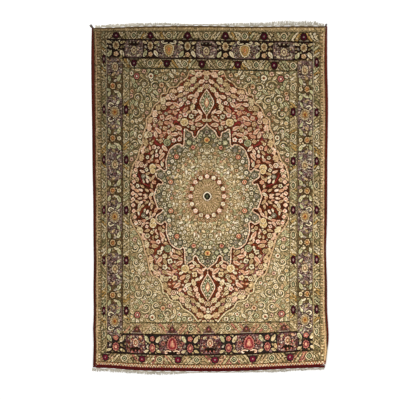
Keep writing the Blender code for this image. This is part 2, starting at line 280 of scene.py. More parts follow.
def flower(wools, rim=0.77, core=0.36):
    """A flower's note, from the wools of its outline, petals, heart and, where there is a fourth, eye."""
    return " ".join(f"{share} {wool}" for share, wool in zip((1, rim, core, core * 0.5), wools.split()))


def bed(text):
    """The notes of several flowers."""
    return [flower(wools) for wools in text.split(",")]


# ---------------- the layout, in squares from the medallion's middle

EDGE_X, GUARD_X, MINOR_X, MAIN_X, FIELD_X = 115, 110, 103, 87.5, 80
TOP = dict(edge=168.5, guard=165, minor=157, main=138.3, field=128.5)
LOW = dict(edge=-171.5, guard=-166.5, minor=-157, main=-137.8, field=-126.5)
FAR = 60               # past the field, where a region's outline closes unseen
DISC = (37, 46)        # half sizes: the medallion's pale disc, its middle, and the ring of flowers round that
MIDDLE = (13.6, 16.6)
RING = (16.6, 20.2)
SCALLOPS, RAYS, RING_STEPS = 16, 34, 32     # to a full turn: of the disc's rim, the middle and the ring
FLANK = (45, 46)       # the field beside the medallion starts and ends here
SIDE_TIP = 53.5        # the medallion's tip

MEDALLION = [(0, 73.5), (2.5, 70.5), (8, 66), (10, 61.5), (12.2, 59.4), (14.2, 61.4), (14.5, 64.4),
             (18, 66), (21.8, 68.4), (22.6, 63), (22.8, 57), (23.2, 52.4), (25, 50.8), (26.8, 52.6),
             (31, 52), (36.4, 48), (39, 42.5), (41, 36), (41, 31), (40.6, 27), (43.2, 25.6), (46.2, 28),
             (49.5, 26.6), (51.6, 25.2), (50.6, 19.5), (47, 16.8), (44.2, 14.2), (46, 11.8), (49, 12.4),
             (51.2, 7), (SIDE_TIP, 0)]
ARCH_TOP = [(15, 129), (17, 126), (20, 119.5), (26, 115.5), (30, 111), (37, 109.5), (40, 104), (45, 103),
            (47, 96), (53, 90.5), (56, 83), (61, 78), (61.5, 70), (65, 62), (65.5, 54), (69, 46),
            (71.5, 38), (76.5, 31), (79, 22), (80.5, 14)]
ARCH_LOW = [(9, 127), (11, 124), (17, 117), (25, 112), (29, 106), (37, 104), (41, 98), (44.5, 96), (46, 88),
            (50, 81.5), (56, 78.5), (59, 71), (61, 62), (64, 54), (66, 45), (70, 38), (75, 32), (79, 24),
            (80.5, 16)]
ARCH_START = [(-4, 124.5), (4, 124.5), (10, 122), (14, 116.5), (19.5, 113)]
SECOND_ROW = [(2, 118), (7, 115), (13, 109.5), (19, 106), (26, 102), (33, 99)]
COLLAR = [(-2, 18), (2.5, 16), (8.5, 11), (11, 5), (13, -1), (15, -7)]      # from the pendant's middle
VINES = [(1.2, [(24, 62), (27, 72), (33, 76), (38, 72)]), (1.0, [(22, 92), (28, 84), (30, 76)]),
         (1.2, [(44, 50), (51, 54), (54, 62), (50, 70)]), (0.9, [(34, 96), (38, 88), (45, 84)]),
         (1.1, [(56, 42), (62, 46), (60, 54)]), (0.9, [(58, 10), (66, 14), (70, 22)])]
BROAD_VINES = [[(12, 117), (16, 110), (22.5, 103), (27, 98), (34, 87)],
               [(42, 84), (48, 76), (52, 66), (58, 56)], [(30, 84), (34, 76), (40, 68)]]

FIELD_BLOOMS = [*bed("ox sand umber butter, rust pink umber cream, umber shell rust"),
                flower("bark oat walnut ivory", core=0.46),
                *bed("ox blush rose, umber biscuit rust cream, bark cream olive, garnet peach garnet cream,"
                     "umber butter fawn, bark oat slate, ox tan blood shell")]
PALE_BLOOMS = bed("pine cream rust, moss sand umber ivory, pine reed olive, moss oat gold, bark biscuit rust,"
                  "umber pink plum")
RIM_BLOOMS = bed("moss cream olive, pine reed fern ivory, moss oat umber, pine cream bark, moss sand olive,"
                 "moss ivory plum cream, olive ivory sage, moss biscuit rust")
DISC_BLOOMS = bed("olive cream dun, walnut sand fawn, moss reed olive, walnut butter khaki, dun ivory olive,"
                  "umber biscuit rust")
YELLOW = "1 bark 0.86 butter 0.58 tan 0.46 honey 0.3 fawn 0.18 butter"
GREEN = "1 bark 0.86 lichen 0.62 fern 0.48 sage 0.26 reed 0.14 bark"
GREY = flower("pine moth ash dove", 0.8, 0.5)
PINK_LEAF = "1 ox 0.78 pink 0.3 peach 0.12 rust"

# the two halves of the field: their wools, and how far the drawing is stretched along the rug
TOP_HALF = dict(
    high=TOP["field"], arch=ARCH_TOP, seed=11, stretch=1.0, pendant=95.0, kinds=FIELD_BLOOMS,
    field="0.24 blood 0.2 rust 0.16 garnet 0.22 ox 0.1 walnut", vine="crimson", edge="biscuit", coil="straw",
    corner="0.3 olive 0.16 moss 0.34 dun 0.1 walnut 0.1 khaki", comb="biscuit pink oat tan shell".split(),
    leaf_wools="pink biscuit salmon peach sand shell oat tan".split())
LOW_HALF = dict(
    high=-LOW["field"], arch=ARCH_LOW, seed=23, stretch=0.965, pendant=91.0,
    kinds=[note for note in FIELD_BLOOMS if "pink" not in note and "peach" not in note],
    field="0.22 rust 0.24 umber 0.1 walnut 0.2 garnet 0.24 blood", vine="garnet", edge="sand", coil="sand",
    corner="0.3 khaki 0.26 dun 0.24 olive 0.2 straw", comb="sand biscuit tan oat pink".split(),
    leaf_wools="cream biscuit cream peach sand shell oat tan".split())


# ---------------- the field

def oval(x, y, half):
    """How far out x, y is, as a share of an ellipse's radius."""
    return np.hypot(x / half[0], y / half[1])


class Quarter(Chart):
    """A quarter of the field, from the medallion's middle to a corner, with its half's wools."""

    def __init__(self, high, arch, seed, **look):
        super().__init__(0, FIELD_X, 0, high, "blood", seed)
        vars(self).update(look)
        self.arch = np.array(arch, float)
        self.u, self.v = np.broadcast_arrays(self.x[None, :], self.y[:, None])
        # both outlines close past the axes or the field, where it doesn't show
        above, beyond = high + FAR, FIELD_X + FAR
        self.to_arch = distance([(-FAR, -FAR), (-FAR, above), (arch[0][0] - 2, above), *arch,
                                 (beyond, arch[-1][1] - 8), (beyond, -FAR)], self.u, self.v)
        self.to_medallion = distance([(-FAR, -FAR), (-40, 43.5), (-2.5, 70.5), *spline(MEDALLION, steps=3),
                                      (51.2, -7), (40, -FAR)], self.u, self.v)
        self.middle = oval(self.u, self.v, MIDDLE)
        self.shade = self.rng.random(self.cells.shape)

    def ground(self, where, note):
        """Mixes wools over a region."""
        mottle(self.cells, self.shade, where, note)

    def some(self, share):
        """Picks that share of the knots."""
        return self.rng.random(self.cells.shape) < share


def field_ground(q):
    """Mottled grounds on both sides of the arch, darker beside the medallion, and vines."""
    q.ground(q.to_arch <= 0, q.field)
    q.ground((q.to_arch <= 0) & q.some(np.clip(1.5 - q.v / 45, 0, 1) * 0.8), "0.2 black 0.45 ox 0.35 blood")
    q.ground(q.to_arch > 0, q.corner)
    for width, line in VINES:
        q.stroke(spline(np.multiply(line, (1, q.stretch))), width, q.vine)
    for width, wool in ((2.8, "blood"), (1.8, "mauve"), (0.8, "rose")):
        for line in BROAD_VINES:
            q.stroke(spline(np.multiply(line, (1, q.stretch))), width, wool, taken=False)


def arch_edge(q):
    """Two rows of comb-edged leaves inside a pale line, with a flower at every other leaf."""
    edge = spline(q.arch, steps=8)
    q.stroke(edge, 2.6, "moss")
    q.ribbon(spline(np.multiply(SECOND_ROW, (1, q.stretch)), steps=4), 4.6, q.comb[::-1], every=6.5)
    # the first row follows the arch a little way inside it
    first_row = np.r_[np.multiply(ARCH_START, (1, q.stretch)), q.arch[4:] * (0.95, 0.962)]
    q.ribbon(spline(first_row, steps=4), 6.4, q.comb)
    for i, p in enumerate(along(first_row, 8.0)):
        if i % 2 and i > 2:
            note = flower(f"ox {q.comb[(i // 2 + 2) % 5]} umber butter", core=0.42)
            q.bloom(*(p - 3.6 * p / np.hypot(*p)), 3.4, note)
    q.stroke(edge, 1.3, q.edge)
    q.stroke(edge[len(edge) // 2:], 1.6, "biscuit")


def pendant(q):
    """The pendant over the medallion, in its collar, and the leaves under it."""
    y = q.pendant
    q.shape(0, y, almond(22, 34, 1.5), "0 blood 1.2 garnet")
    q.ground((q.to_arch < 0) & (np.hypot(q.u, q.v - y) < 15) & (q.shade < 0.6), "0.3 blood 0.2 ox 0.1 rust")
    q.ribbon(spline(np.add(COLLAR, (0, y)), steps=6), 5.2, ["shell", "sand", "pink"], "rust", every=6.5)
    q.shape(0, y, almond(15, 28, 1.35), "-0.8 ox 0 shell 1.05 moss 1.6 sage 2.3 pine 3.4 reed 4.1 fern")
    for t in np.linspace(-0.6, 0.6, 6):
        q.bloom(7.5 * (1 - abs(t) ** 1.35) - 2.6, y + t * 13, 0.65, "1 ivory")
    q.shape(0, y, almond(5.6, 12, 1.5), "0 umber 0.5 salmon 1.5 butter")
    q.stroke([(0, y - 13.5), (0, y - 20)], 1.0, "shell")
    q.leaf(6.8, y - 9.5, 9.0, 3.6, 0.95, "1 ox 0.72 shell")
    q.leaf(8.4, y - 16.4, 10.8, 5.6, -0.72, PINK_LEAF)
    q.leaf(16.8, y - 20.5, 8.4, 5.4, 0.35, PINK_LEAF)
    q.bloom(0, y + 16.5, 3.0, flower("bark biscuit moss butter"), petals=5)


def medallion(q):
    """Its mottled ground, scalloped edge and pale disc, and the ring of flowers round the middle."""
    inside, middle = q.to_medallion < 0, q.middle
    q.ground(inside, "0.34 olive 0.12 moss 0.34 dun 0.2 sage")
    q.ground(inside & (q.to_medallion > -7) & q.some(0.5), "0.4 moss 0.25 pine 0.35 slate")
    q.dye(..., (q.to_medallion >= 0.55) & (q.to_medallion < 1.6), "ox")
    q.dye(..., np.abs(q.to_medallion) < 0.55, "shell")
    scallop = 0.05 * np.cos(SCALLOPS * np.arctan2(q.v / DISC[1], q.u / DISC[0]))
    disc = oval(q.u, q.v, DISC) + scallop + 0.3 * (q.rng.random(q.cells.shape) - 0.5)
    q.ground(inside & (disc < 1), "0.3 khaki 0.28 dun 0.16 straw 0.16 walnut 0.1 sage")
    q.ground(middle < 1, "0.26 tan 0.24 khaki 0.2 fawn 0.14 biscuit 0.16 sage")
    rays = np.sin(np.arctan2(q.v / MIDDLE[1], q.u / MIDDLE[0]) * RAYS + middle * 9)
    q.dye(..., (middle < 0.92) & (rays > 0.5) & (q.shade < 0.7), "biscuit")
    q.dye(..., (middle < 0.92) & (rays < -0.6) & (q.shade < 0.7), "walnut")
    for i in range(-1, 18):
        a = i * TAU / RING_STEPS
        x, y = RING[0] * math.cos(a), RING[1] * math.sin(a)
        if i % 2:
            q.leaf(x * 1.02, y * 1.02, 4.4, 2.6, a, "1 rust 0.5 umber")
        else:
            q.bloom(x, y, 3.2, f"1 rust 0.86 umber 0.72 {('blush', 'cream')[i // 2 % 2]} 0.2 peach",
                    petals=5, turn=a)
        q.bloom(x * 1.24, y * 1.24, 1.7, flower("rust biscuit umber"), petals=4, turn=a)
        q.leaf(x * 1.4, y * 1.4, 3.6, 2.0, a + 0.6 * (-1) ** i, "1 umber 0.6 butter")
    q.shape(0, 0, rounded(9.8, 10.6, 1.75), "0 umber 0.6 ivory 1.7 bark 2.4 pine 3.7 fern")


def placed_flowers(q):
    """Flowers and leaves with a place of their own."""
    q.place((22.5, 75.0, 4.8, YELLOW, 12), (54.8, 29, 4.4, YELLOW, 12), (54.6, 25.5, 3.4, YELLOW, 12),
            (39.8, 54.3, 4.2, GREEN, 12), (65, 20, 2.8, GREY, 6), stretch=q.stretch)
    for x, y, turn in ((29, 69, 0.45), (38, 79, -0.5), (31, 92, 0.6), (45, 40, -1.0),
                       (49, 66, 0.8), (33, 62, -0.2)):
        if q.free(x, y * q.stretch, 2.2):
            q.leaf(x, y * q.stretch, 9.6, 5.2, turn, PINK_LEAF, bend=0.6)
    for i in range(5):
        y = 2.9 + i * 5.9
        q.bloom(76.6 - 0.0045 * y * y, y, 2.9, flower(f"black {('shell', 'pink')[i % 2]} rose", core=0.26),
                petals=4)
    for i in range(6):
        a = 0.12 + i * 0.24
        for radius in (9.5, 15.5):
            x, y = SIDE_TIP + radius * math.cos(a), radius * math.sin(a) * 1.15
            if q.value(q.to_medallion, x, y) > 1.8 and q.free(x, y, 1.2):
                q.leaf(x, y, 6, 3.6, a, f"1 black 0.7 {('pink', 'blush', 'biscuit')[i % 3]}")
    q.place((0, 57, 3.9, flower("pine honey amber rust", core=0.5), 7),
            (0, 65, 2.8, flower("pine moth plum"), 5), (6.5, 61, 2.5, flower("pine reed moss"), 5),
            (7.0, 52, 2.4, GREY, 6), (17.8, 54.5, 3.2, flower("pine reed cream sage"), 6),
            (18.6, 61.8, 2.8, GREY, 5), (13.8, 49.5, 2.8, flower("bark salmon crimson"), 5),
            (3.2, 39.5, 2.7, flower("moss cream sage", core=0.5), 8),
            (30.5, 40.0, 3.2, flower("bark salmon brick butter", core=0.5), 6), (46.2, 21.4, 3.7, GREY, 9),
            (38.3, 24, 2.4, flower("pine ivory sage"), 5),
            (36.5, 14.5, 3.2, flower("bark peach brick cream", core=0.5), 6), (27.5, 46.5, 2.8, GREY, 6),
            (48.0, 0, 3.0, GREY, 7), (35.5, 45.5, 2.2, GREY, 5), (43, 8, 2.2, flower("pine cream moss"), 5))


def field_filling(q):
    """Flowers and leaves all over the field, thrown from large to small."""
    def in_field(x, y, size):
        return q.value(q.to_arch, x, y) < -size * 0.7 and q.value(q.to_medallion, x, y) > size * 0.85

    def on_flank(x, y, size):
        return x > FLANK[0] and y < FLANK[1] and in_field(x, y, size)

    def off_flank(x, y, size):
        return (x <= FLANK[0] or y >= FLANK[1]) and in_field(x, y, size)

    bloom = q.blooms(q.kinds)
    leaf = q.leaves(q.leaf_wools, "ox", lambda x, y: math.atan2(y, x) + math.pi / 2)
    flank_leaf = q.leaves("pink peach shell cream biscuit salmon".split(), "ox",
                          lambda x, y: math.atan2(y, x - SIDE_TIP), 1.75)
    speck = q.specks("cream pink biscuit crimson rust".split())
    q.scatter(on_flank, (bloom, 1500, 2.4, 3.0, -0.3), (flank_leaf, 5000, 1.9, 2.5, -0.45),
              (flank_leaf, 5000, 1.3, 1.8, -0.15), (bloom, 4000, 1.2, 1.5, 0))
    q.scatter(off_flank, (bloom, 2500, 3.0, 3.7, -0.7), (leaf, 5000, 2.3, 3.0, -0.6),
              (bloom, 5000, 2.2, 2.8, -0.55), (leaf, 7000, 1.7, 2.2, -0.45), (bloom, 8000, 1.3, 1.8, -0.25),
              (leaf, 8000, 1.1, 1.4, -0.1), (speck, 6000, 0.5, 0.8, 0.25))


def scroll(q, x, y, size, turns, start, hand):
    """A coiled tendril with a flower in its eye and a leaf on either side."""
    t = np.linspace(0.12, 1, int(14 * turns))
    angle = start + hand * (1 - t) * turns * TAU
    coil = np.c_[x + size * t * np.cos(angle), y + size * t * np.sin(angle)]
    q.stroke(coil, 2.5, "pine")
    q.stroke(coil, 1.2, q.coil)
    q.bloom(x, y, 2.1, flower("pine cream rust"))
    q.leaf(x + size * 1.1, y - size * 0.95, 8.0, 4.8, -0.9, "1 pine 0.7 reed 0.2 olive", teeth=2)
    q.leaf(x - size * 1.3, y + size * 0.7, 7.4, 4.2, 0.8, "1 pine 0.7 cream 0.2 khaki")


def spandrel(q):
    """The corner past the arch: scrolls, large flowers and small ones."""
    for x, y, *rest in (
            (63, 113, 5.8, 1.6, 0.4, 1), (52, 111, 4.8, 1.5, 2.2, -1), (71, 99, 5.6, 1.6, 4.0, -1),
            (60, 98, 4.6, 1.5, 1.0, 1), (73, 84, 5.2, 1.6, 2.0, 1), (73, 67, 4.6, 1.5, 3.0, -1),
            (74, 52, 4.2, 1.5, 0.5, 1), (41, 119, 4.4, 1.5, 3.5, 1)):
        scroll(q, x, y * q.high / TOP["field"], *rest)
    q.place((72, q.high - 8, 4.0, flower("bark rose plum blush", core=0.5), 6),
            (56, 121, 3.9, PALE_BLOOMS[0], 7), (45, 112, 3.4, PALE_BLOOMS[4], 6),
            (66.5, 91, 3.6, PALE_BLOOMS[1], 7), (77, 75, 2.8, PALE_BLOOMS[3], 6),
            (68.5, 60, 3.2, PALE_BLOOMS[0], 7))

    def in_spandrel(x, y, size):
        return q.value(q.to_arch, x, y) > 0.9 and x + size * 0.6 < FIELD_X and y + size * 0.6 < q.high

    pale = q.blooms(PALE_BLOOMS)
    leaf = q.leaves("reed cream straw sand oat khaki biscuit".split(), "pine")
    speck = q.specks("straw sand cream khaki rust".split())
    q.scatter(in_spandrel, (pale, 1500, 2.4, 3.2, -0.3), (leaf, 4000, 1.8, 2.4, -0.3),
              (pale, 5000, 1.3, 1.7, -0.2), (speck, 6000, 0.5, 0.8, 0.2))


def medallion_filling(q):
    """Small flowers on the medallion's rim and disc."""
    def in_rim(x, y, size):
        return q.value(q.to_medallion, x, y) < -size * 0.8 - 0.4 and oval(x, y, DISC) > 0.96

    def in_disc(x, y, size):
        return oval(x, y, DISC) < 1 and q.value(q.middle, x, y) > 1.05

    rim, disc = q.blooms(RIM_BLOOMS), q.blooms(DISC_BLOOMS)
    leaf = q.leaves("cream sand butter reed ivory".split(), "olive")
    q.scatter(in_rim, (rim, 2500, 1.9, 2.6, -0.25), (rim, 5000, 1.2, 1.7, -0.2),
              (q.specks("cream reed sand straw dove".split()), 6000, 0.5, 0.8, 0.12))
    q.scatter(in_disc, (disc, 3000, 1.7, 2.2, -0.25), (leaf, 5000, 1.2, 1.6, -0.2),
              (disc, 7000, 0.9, 1.2, -0.1),
              (q.specks("cream ivory sand moss umber".split()), 7000, 0.45, 0.7, 0.1))


def quarter_cells(half):
    """A painted quarter's wools."""
    q = Quarter(**half)
    for paint_part in (field_ground, arch_edge, pendant, medallion, placed_flowers, field_filling, spandrel,
                       medallion_filling):
        paint_part(q)
    return q.cells


# ---------------- the narrow borders

LIGHT = "straw reed khaki oat sage straw cream gold".split()
WARM = "straw salmon khaki sand biscuit tan rose".split()
LEAF_STEP, LEAF_LEAN = 3.4, 0.86
FAN_REACH = {True: 5.0, False: 6.4}     # upright borders, and the others


def row(start, step, count):
    """Places with even steps between them."""
    return [start + step * i for i in range(count)]


def rosette(c, x, y, w, h, wools):
    """The small dark flower of the narrow borders: a notched square with a pale middle."""
    outline, body, ear, heart = wools.split()
    c.shape(x, y, rounded(w, h, 3.0), f"-0.3 {outline} 0.7 {body}")
    for turn in range(4):
        a = turn * TAU / 4
        c.bloom(x + math.cos(a) * w * 0.5, y + math.sin(a) * h * 0.5, 0.9, f"1 {outline} 0.5 {ear}", petals=4)
    c.bloom(x, y, 0.8, "1 " + heart, petals=4, tall=h / w)


def minor_border(c, upright, inner, outer, span, rosettes, eyes, size, wools, fan,
                 ground="0.4 olive 0.26 dun 0.08 bark", base="moss", fan_note="0 bark 0.9 umber",
                 rosette_wools="black maroon wine lilac", drop=0.0):
    """A narrow border: slanted leaves lean together over each green diamond, and a dark fan joins each
    rosette to the main border."""
    low, high = sorted((inner, outer))
    start, end = span
    middle, width = (low + high) / 2, high - low
    out = 1 if outer > inner else -1
    (x0, x1), (y0, y1) = ((low, high), span) if upright else (span, (low, high))
    c.band(x0, x1, y0, y1, base)
    c.mix((x0 + x1) / 2, (y0 + y1) / 2, (x1 - x0) / 2, (y1 - y0) / 2, ground)

    def at(s, t):
        return (middle + t, s) if upright else (s, middle + t)

    for i in range(int((end - start) / LEAF_STEP)):
        s = start + (i + 0.5) * LEAF_STEP
        near = min(eyes, key=lambda eye: abs(eye - s))
        k = int(abs(s - near) / LEAF_STEP)
        side = 1 if s > near else -1
        slant = side * out * LEAF_LEAN
        way = math.pi / 2 - slant if upright else slant
        wool = wools[(k + i // 3) % len(wools)]
        note = f"1 moss 0.66 {wool} 0.16 dun"
        c.leaf(*at(s, 0), width * 1.3, 3.0, way, note, bend=side * 0.5, teeth=2 + k % 2)
        if k % 3 == 1:
            for t in (-0.3, 0.3):
                note = flower(f"moss {wool} umber", core=0.4)
                c.bloom(*at(s + side * out * t * 4, t * width), 1.5, note, petals=5, turn=s)
    for _ in range(int((end - start) * width / 11)):
        x, y = at(start + c.rng.random() * (end - start), (c.rng.random() - 0.5) * (width - 1.4))
        c.leaf(x, y, 1.8, 1.2, c.any_turn(), "1 " + c.pick(("bark", "sand", "moss", "oat")))
    for s in eyes:
        if start < s < end:
            diamond = rounded(size[0] * 0.9 + 1.6, size[1] * 0.86 + 1.6, 1.6)
            c.shape(*at(s, 0), diamond, "-0.6 moss 0 oat 0.9 pine 1.8 lichen 2.5 moss")
    tip, foot, reach = -fan * out * width * 0.36, fan * out * (width / 2 - 0.3), FAN_REACH[upright]
    corners = np.array([(-reach, foot), (0, tip), (reach, foot)])
    for s in rosettes:
        if start < s < end:
            c.shape(*at(s, 0), corners[:, ::-1] if upright else corners, fan_note)
            c.stroke([at(s - reach * 0.7, foot * 0.84), at(s + reach * 0.7, foot * 0.84)], 0.6, "moth")
            rosette(c, *at(s, drop), *size, rosette_wools)


def minor_borders(c):
    """The four narrow borders outside the main one, and the four inside it."""
    ends, across = (-GUARD_X, GUARD_X), (-MAIN_X, MAIN_X)
    minor_border(c, False, TOP["minor"], TOP["guard"], ends, row(-93.875, 37.55, 6), row(-112.65, 37.55, 7),
                 (5.8, 6.0), LIGHT, -1)
    minor_border(c, False, LOW["minor"], LOW["guard"], ends, [-104.5, *row(-67.2, 36.9, 5)],
                 [-85.8, *row(-48.6, 36.9, 5)], (6.6, 6.2), WARM, -1,
                 rosette_wools="coal claret maroon lilac")
    rosettes, eyes = row(137, -50.3, 6), row(111.5, -50.1, 6)
    for side in (-1, 1):
        minor_border(c, True, side * MINOR_X, side * GUARD_X, (LOW["minor"], TOP["minor"]), rosettes, eyes,
                     (4.2, 8.0), LIGHT, -1)
        minor_border(c, True, side * FIELD_X, side * MAIN_X, (LOW["field"] - 6, TOP["field"] + 4), rosettes,
                     eyes, (4.4, 8.0), LIGHT[:4] + LIGHT[5:], 1, "0.3 dun 0.3 khaki 0.3 sage", "dun")
    minor_border(c, False, TOP["field"], TOP["main"], across, row(-75, 35.2, 5), row(-57, 35.2, 5),
                 (5.8, 6.2), LIGHT, 1)
    minor_border(c, False, LOW["field"], LOW["main"], across, row(-72.7, 36.7, 5), row(-54, 36.7, 4),
                 (5.0, 5.2), WARM, 1, "0.3 khaki 0.3 dun 0.3 tan", "khaki", "0 mauve 0.9 plum",
                 "umber plum garnet rose", -0.8)


# ---------------- the main border: s is 1 at the top, -1 at the rosy low end

GROUND = {1: "mauve plum ash umber lilac coal moth bark dove".split(),
          -1: "mauve plum wine umber lilac coal rose garnet bark".split()}
BUD = {1: "1 black 0.84 sand 0.64 fawn 0.36 walnut", -1: "1 black 0.84 rose 0.64 claret 0.36 salmon"}
SHIELD = {1: "0.1 sand 0.9 umber 1.4 gold 2.6 fawn 3.6 amber",
          -1: "0.1 rose 0.9 claret 1.4 crimson 2.6 rose 3.6 salmon"}
MUTED = "lichen khaki reed moth tan mauve sage".split()
HORN = [(1.6, 6.4), (4.6, 5.9), (7.0, 6.8), (6.6, 8.3), (5.2, 8.0)]
HOOK = [(1.0, 7.8), (4.2, 9.2), (5.8, 6.8), (4.4, 5.6)]
SIDE_STEP, TOP_STEP, LOW_STEP = 26.15, 37.55, 38


def palmette(c, x, y, w, h, note, teeth=11):
    """A flower with a comb edge."""
    c.bloom(x, y, w / 2, note, petals=teeth, notch=0.3, tall=h / w)


def leaf_pairs(c, x, y, s, across, *rows):
    """Pairs of leaves that mirror each other across the motif's middle; s turns them over."""
    for dx, dy, length, width, turn, wools in rows:
        for side, wool in zip((-1, 1), wools.split()):
            note = f"1 black 0.74 {wool} 0.16 khaki"
            if across:
                c.leaf(x + s * dy, y + side * dx, length, width, math.pi / 2 - side * s * turn, note)
            else:
                c.leaf(x + side * dx, y + s * dy, length, width, side * s * turn, note)


def stack(c, x, y, s):
    """Bud over flower between four leaves; s is 1 where the bud is above."""
    palmette(c, x, y + s * 3.4, 7.6, 10.4, BUD[s])
    c.bloom(x, y - s * 5.4, 3.2, flower(f"black {'biscuit' if s > 0 else 'rose'} rust butter"), petals=5)
    leaf_pairs(c, x, y, s, False, (6.0, -4.8, 8.2, 5.0, -1.05, "reed cream" if s > 0 else "reed oat"),
               (6.4, 6.6, 6.0, 3.6, 0.4, "oat straw"), (5.4, 1.8, 3.6, 2.4, 0.9, "dove khaki"))


def cartouche(c, x, y, w, h, wools):
    """A mottled ground full of small flecks and loose pale knots."""
    part, u, v = c.window(x, y, w / 2, h / 2)
    inside = (np.abs(u) / (w / 2)) ** 5 + (np.abs(v) / (h / 2)) ** 5 < 1
    mottle(c.cells[part], c.rng.random(c.cells[part].shape) * 3, inside, "1 {} 1 {} 1 {}".format(*wools))
    c.taken[part][inside] = True

    def anywhere(edge_x, edge_y):
        return x + (c.rng.random() - 0.5) * (w - edge_x), y + (c.rng.random() - 0.5) * (h - edge_y)

    for _ in range(int(w * h / 2.6)):
        c.leaf(*anywhere(2.2, 2.0), 1.5 + 1.3 * c.rng.random(), 1.3, c.any_turn(), "1 " + c.pick(wools))
    for _ in range(int(w * h / 4)):
        c.bloom(*anywhere(2, 2), 0.6, "1 " + c.pick(wools[3:5] + ["dove", "coal", "biscuit"]), petals=4)


def crown(c, x, y, s):
    """The narrow cartouche: a black crown over a pale palmette."""
    cartouche(c, x, y, 20.5, 17.6, GROUND[s])
    c.shape(x, y + s * 5.2, rounded(11.5, 4.6, 2.2), "0 black")
    for dx in (-3.8, 0, 3.8):
        c.bloom(x + dx, y + s * 6.4, 0.8, "1 moth" if s > 0 else "1 rose")
    note = flower("black sand plum oat" if s > 0 else "black pink rust oat", 0.84, 0.58)
    palmette(c, x, y - s * 1.4, 7.6, 10.4, note)
    leaf_pairs(c, x, y, s, False, (5.2, -6.6, 5.0, 2.8, 0.5, "cream cream" if s > 0 else "oat peach"))


def shield(c, x, y, s):
    """The wide cartouche: a bright comb-edged shield with two horns."""
    cartouche(c, x, y, 26, 17.6, GROUND[s])
    t = np.linspace(0, 1, 11)
    side = np.c_[5.9 * (4 * t * (1 - t)) ** 0.42 * (1 - 0.4 * t), 5.6 - 13 * t]
    body = np.r_[side, (side * (-1, 1))[::-1][1:-1]] * (1, s)
    c.shape(x, y, body, "-1.3 black")
    c.shape(x, y + s * 7.2, rounded(13, 3.6, 2.6), "0 black")
    for dx, dy in along(body, 2.1):
        c.bloom(x + dx, y + dy, 0.8, "1 sand" if s > 0 else "1 rose")
    c.shape(x, y, body, SHIELD[s])
    for side in (-1, 1):
        horn = spline(HORN, steps=4) * (side, s) + (x, y)
        c.stroke(horn, 2.2, "black")
        c.stroke(horn, 1.1, "cream" if s > 0 else "shell")
        c.bloom(x + side * 9.0, y - s, 2.6, flower(f"black {'moth' if s > 0 else 'rose'} plum", core=0.5))
        note = "1 black 0.7 lichen" if s > 0 else "1 black 0.7 mauve"
        c.leaf(x + side * 10.6, y + s * 5.2, 4.6, 2.4, side * s * 0.7, note)


def side_stack(c, x, y, s):
    """Round flower, small pale flower and leaves; s points to the field."""
    c.bloom(x - s * 1.8, y, 3.6, flower("black tan rust gold", core=0.5), petals=7, tall=1.25)
    c.bloom(x + s * 4.4, y, 2.5, flower("black oat sage"), petals=5, tall=1.2)
    leaf_pairs(c, x, y, s, True, (8.2, 4.2, 8.2, 4.6, 0.35, "reed reed"),
               (7.6, -5.0, 7.0, 3.6, -0.25, "reed lichen"), (5.6, 1.0, 4.4, 2.8, 1.0, "cream dove"),
               (12.0, -1.0, 5.0, 3.2, 0.7, "khaki tan"))


def side_shield(c, x, y, s):
    """The large orange-brown flower with hooks."""
    cartouche(c, x, y, 14.6, 34, GROUND[1])
    note = "1 black 0.86 oat 0.7 umber 0.6 fawn 0.4 gold 0.24 rust"
    palmette(c, x + s * 0.2, y, 10.8, 14.5, note, teeth=14)
    for up in (-1, 1):
        hook = spline(HOOK, steps=4) * (-s, up) + (x, y)
        c.stroke(hook, 2.6, "black")
        c.stroke(hook, 1.15, "cream")
        c.leaf(x + s * 3.6, y + up * 10.4, 6.4, 3.6, math.pi / 2 - up * s * 0.5, "1 black 0.7 reed")


def side_crown(c, x, y, s, h=32):
    """A pale palmette, with a flower and a leaf past each end where there is room."""
    cartouche(c, x, y, 14.6, h, GROUND[1])
    palmette(c, x + s * 0.4, y, 7.8, 11.0, flower("black oat walnut biscuit", 0.84, 0.56))
    if h > 20:
        for up in (-1, 1):
            c.bloom(x, y + up * 9.4, 2.2, flower("black mauve plum"), petals=5)
            c.leaf(x + s * 4, y + up * 8.0, 6, 3.2, up * 0.8, "1 black 0.7 reed")


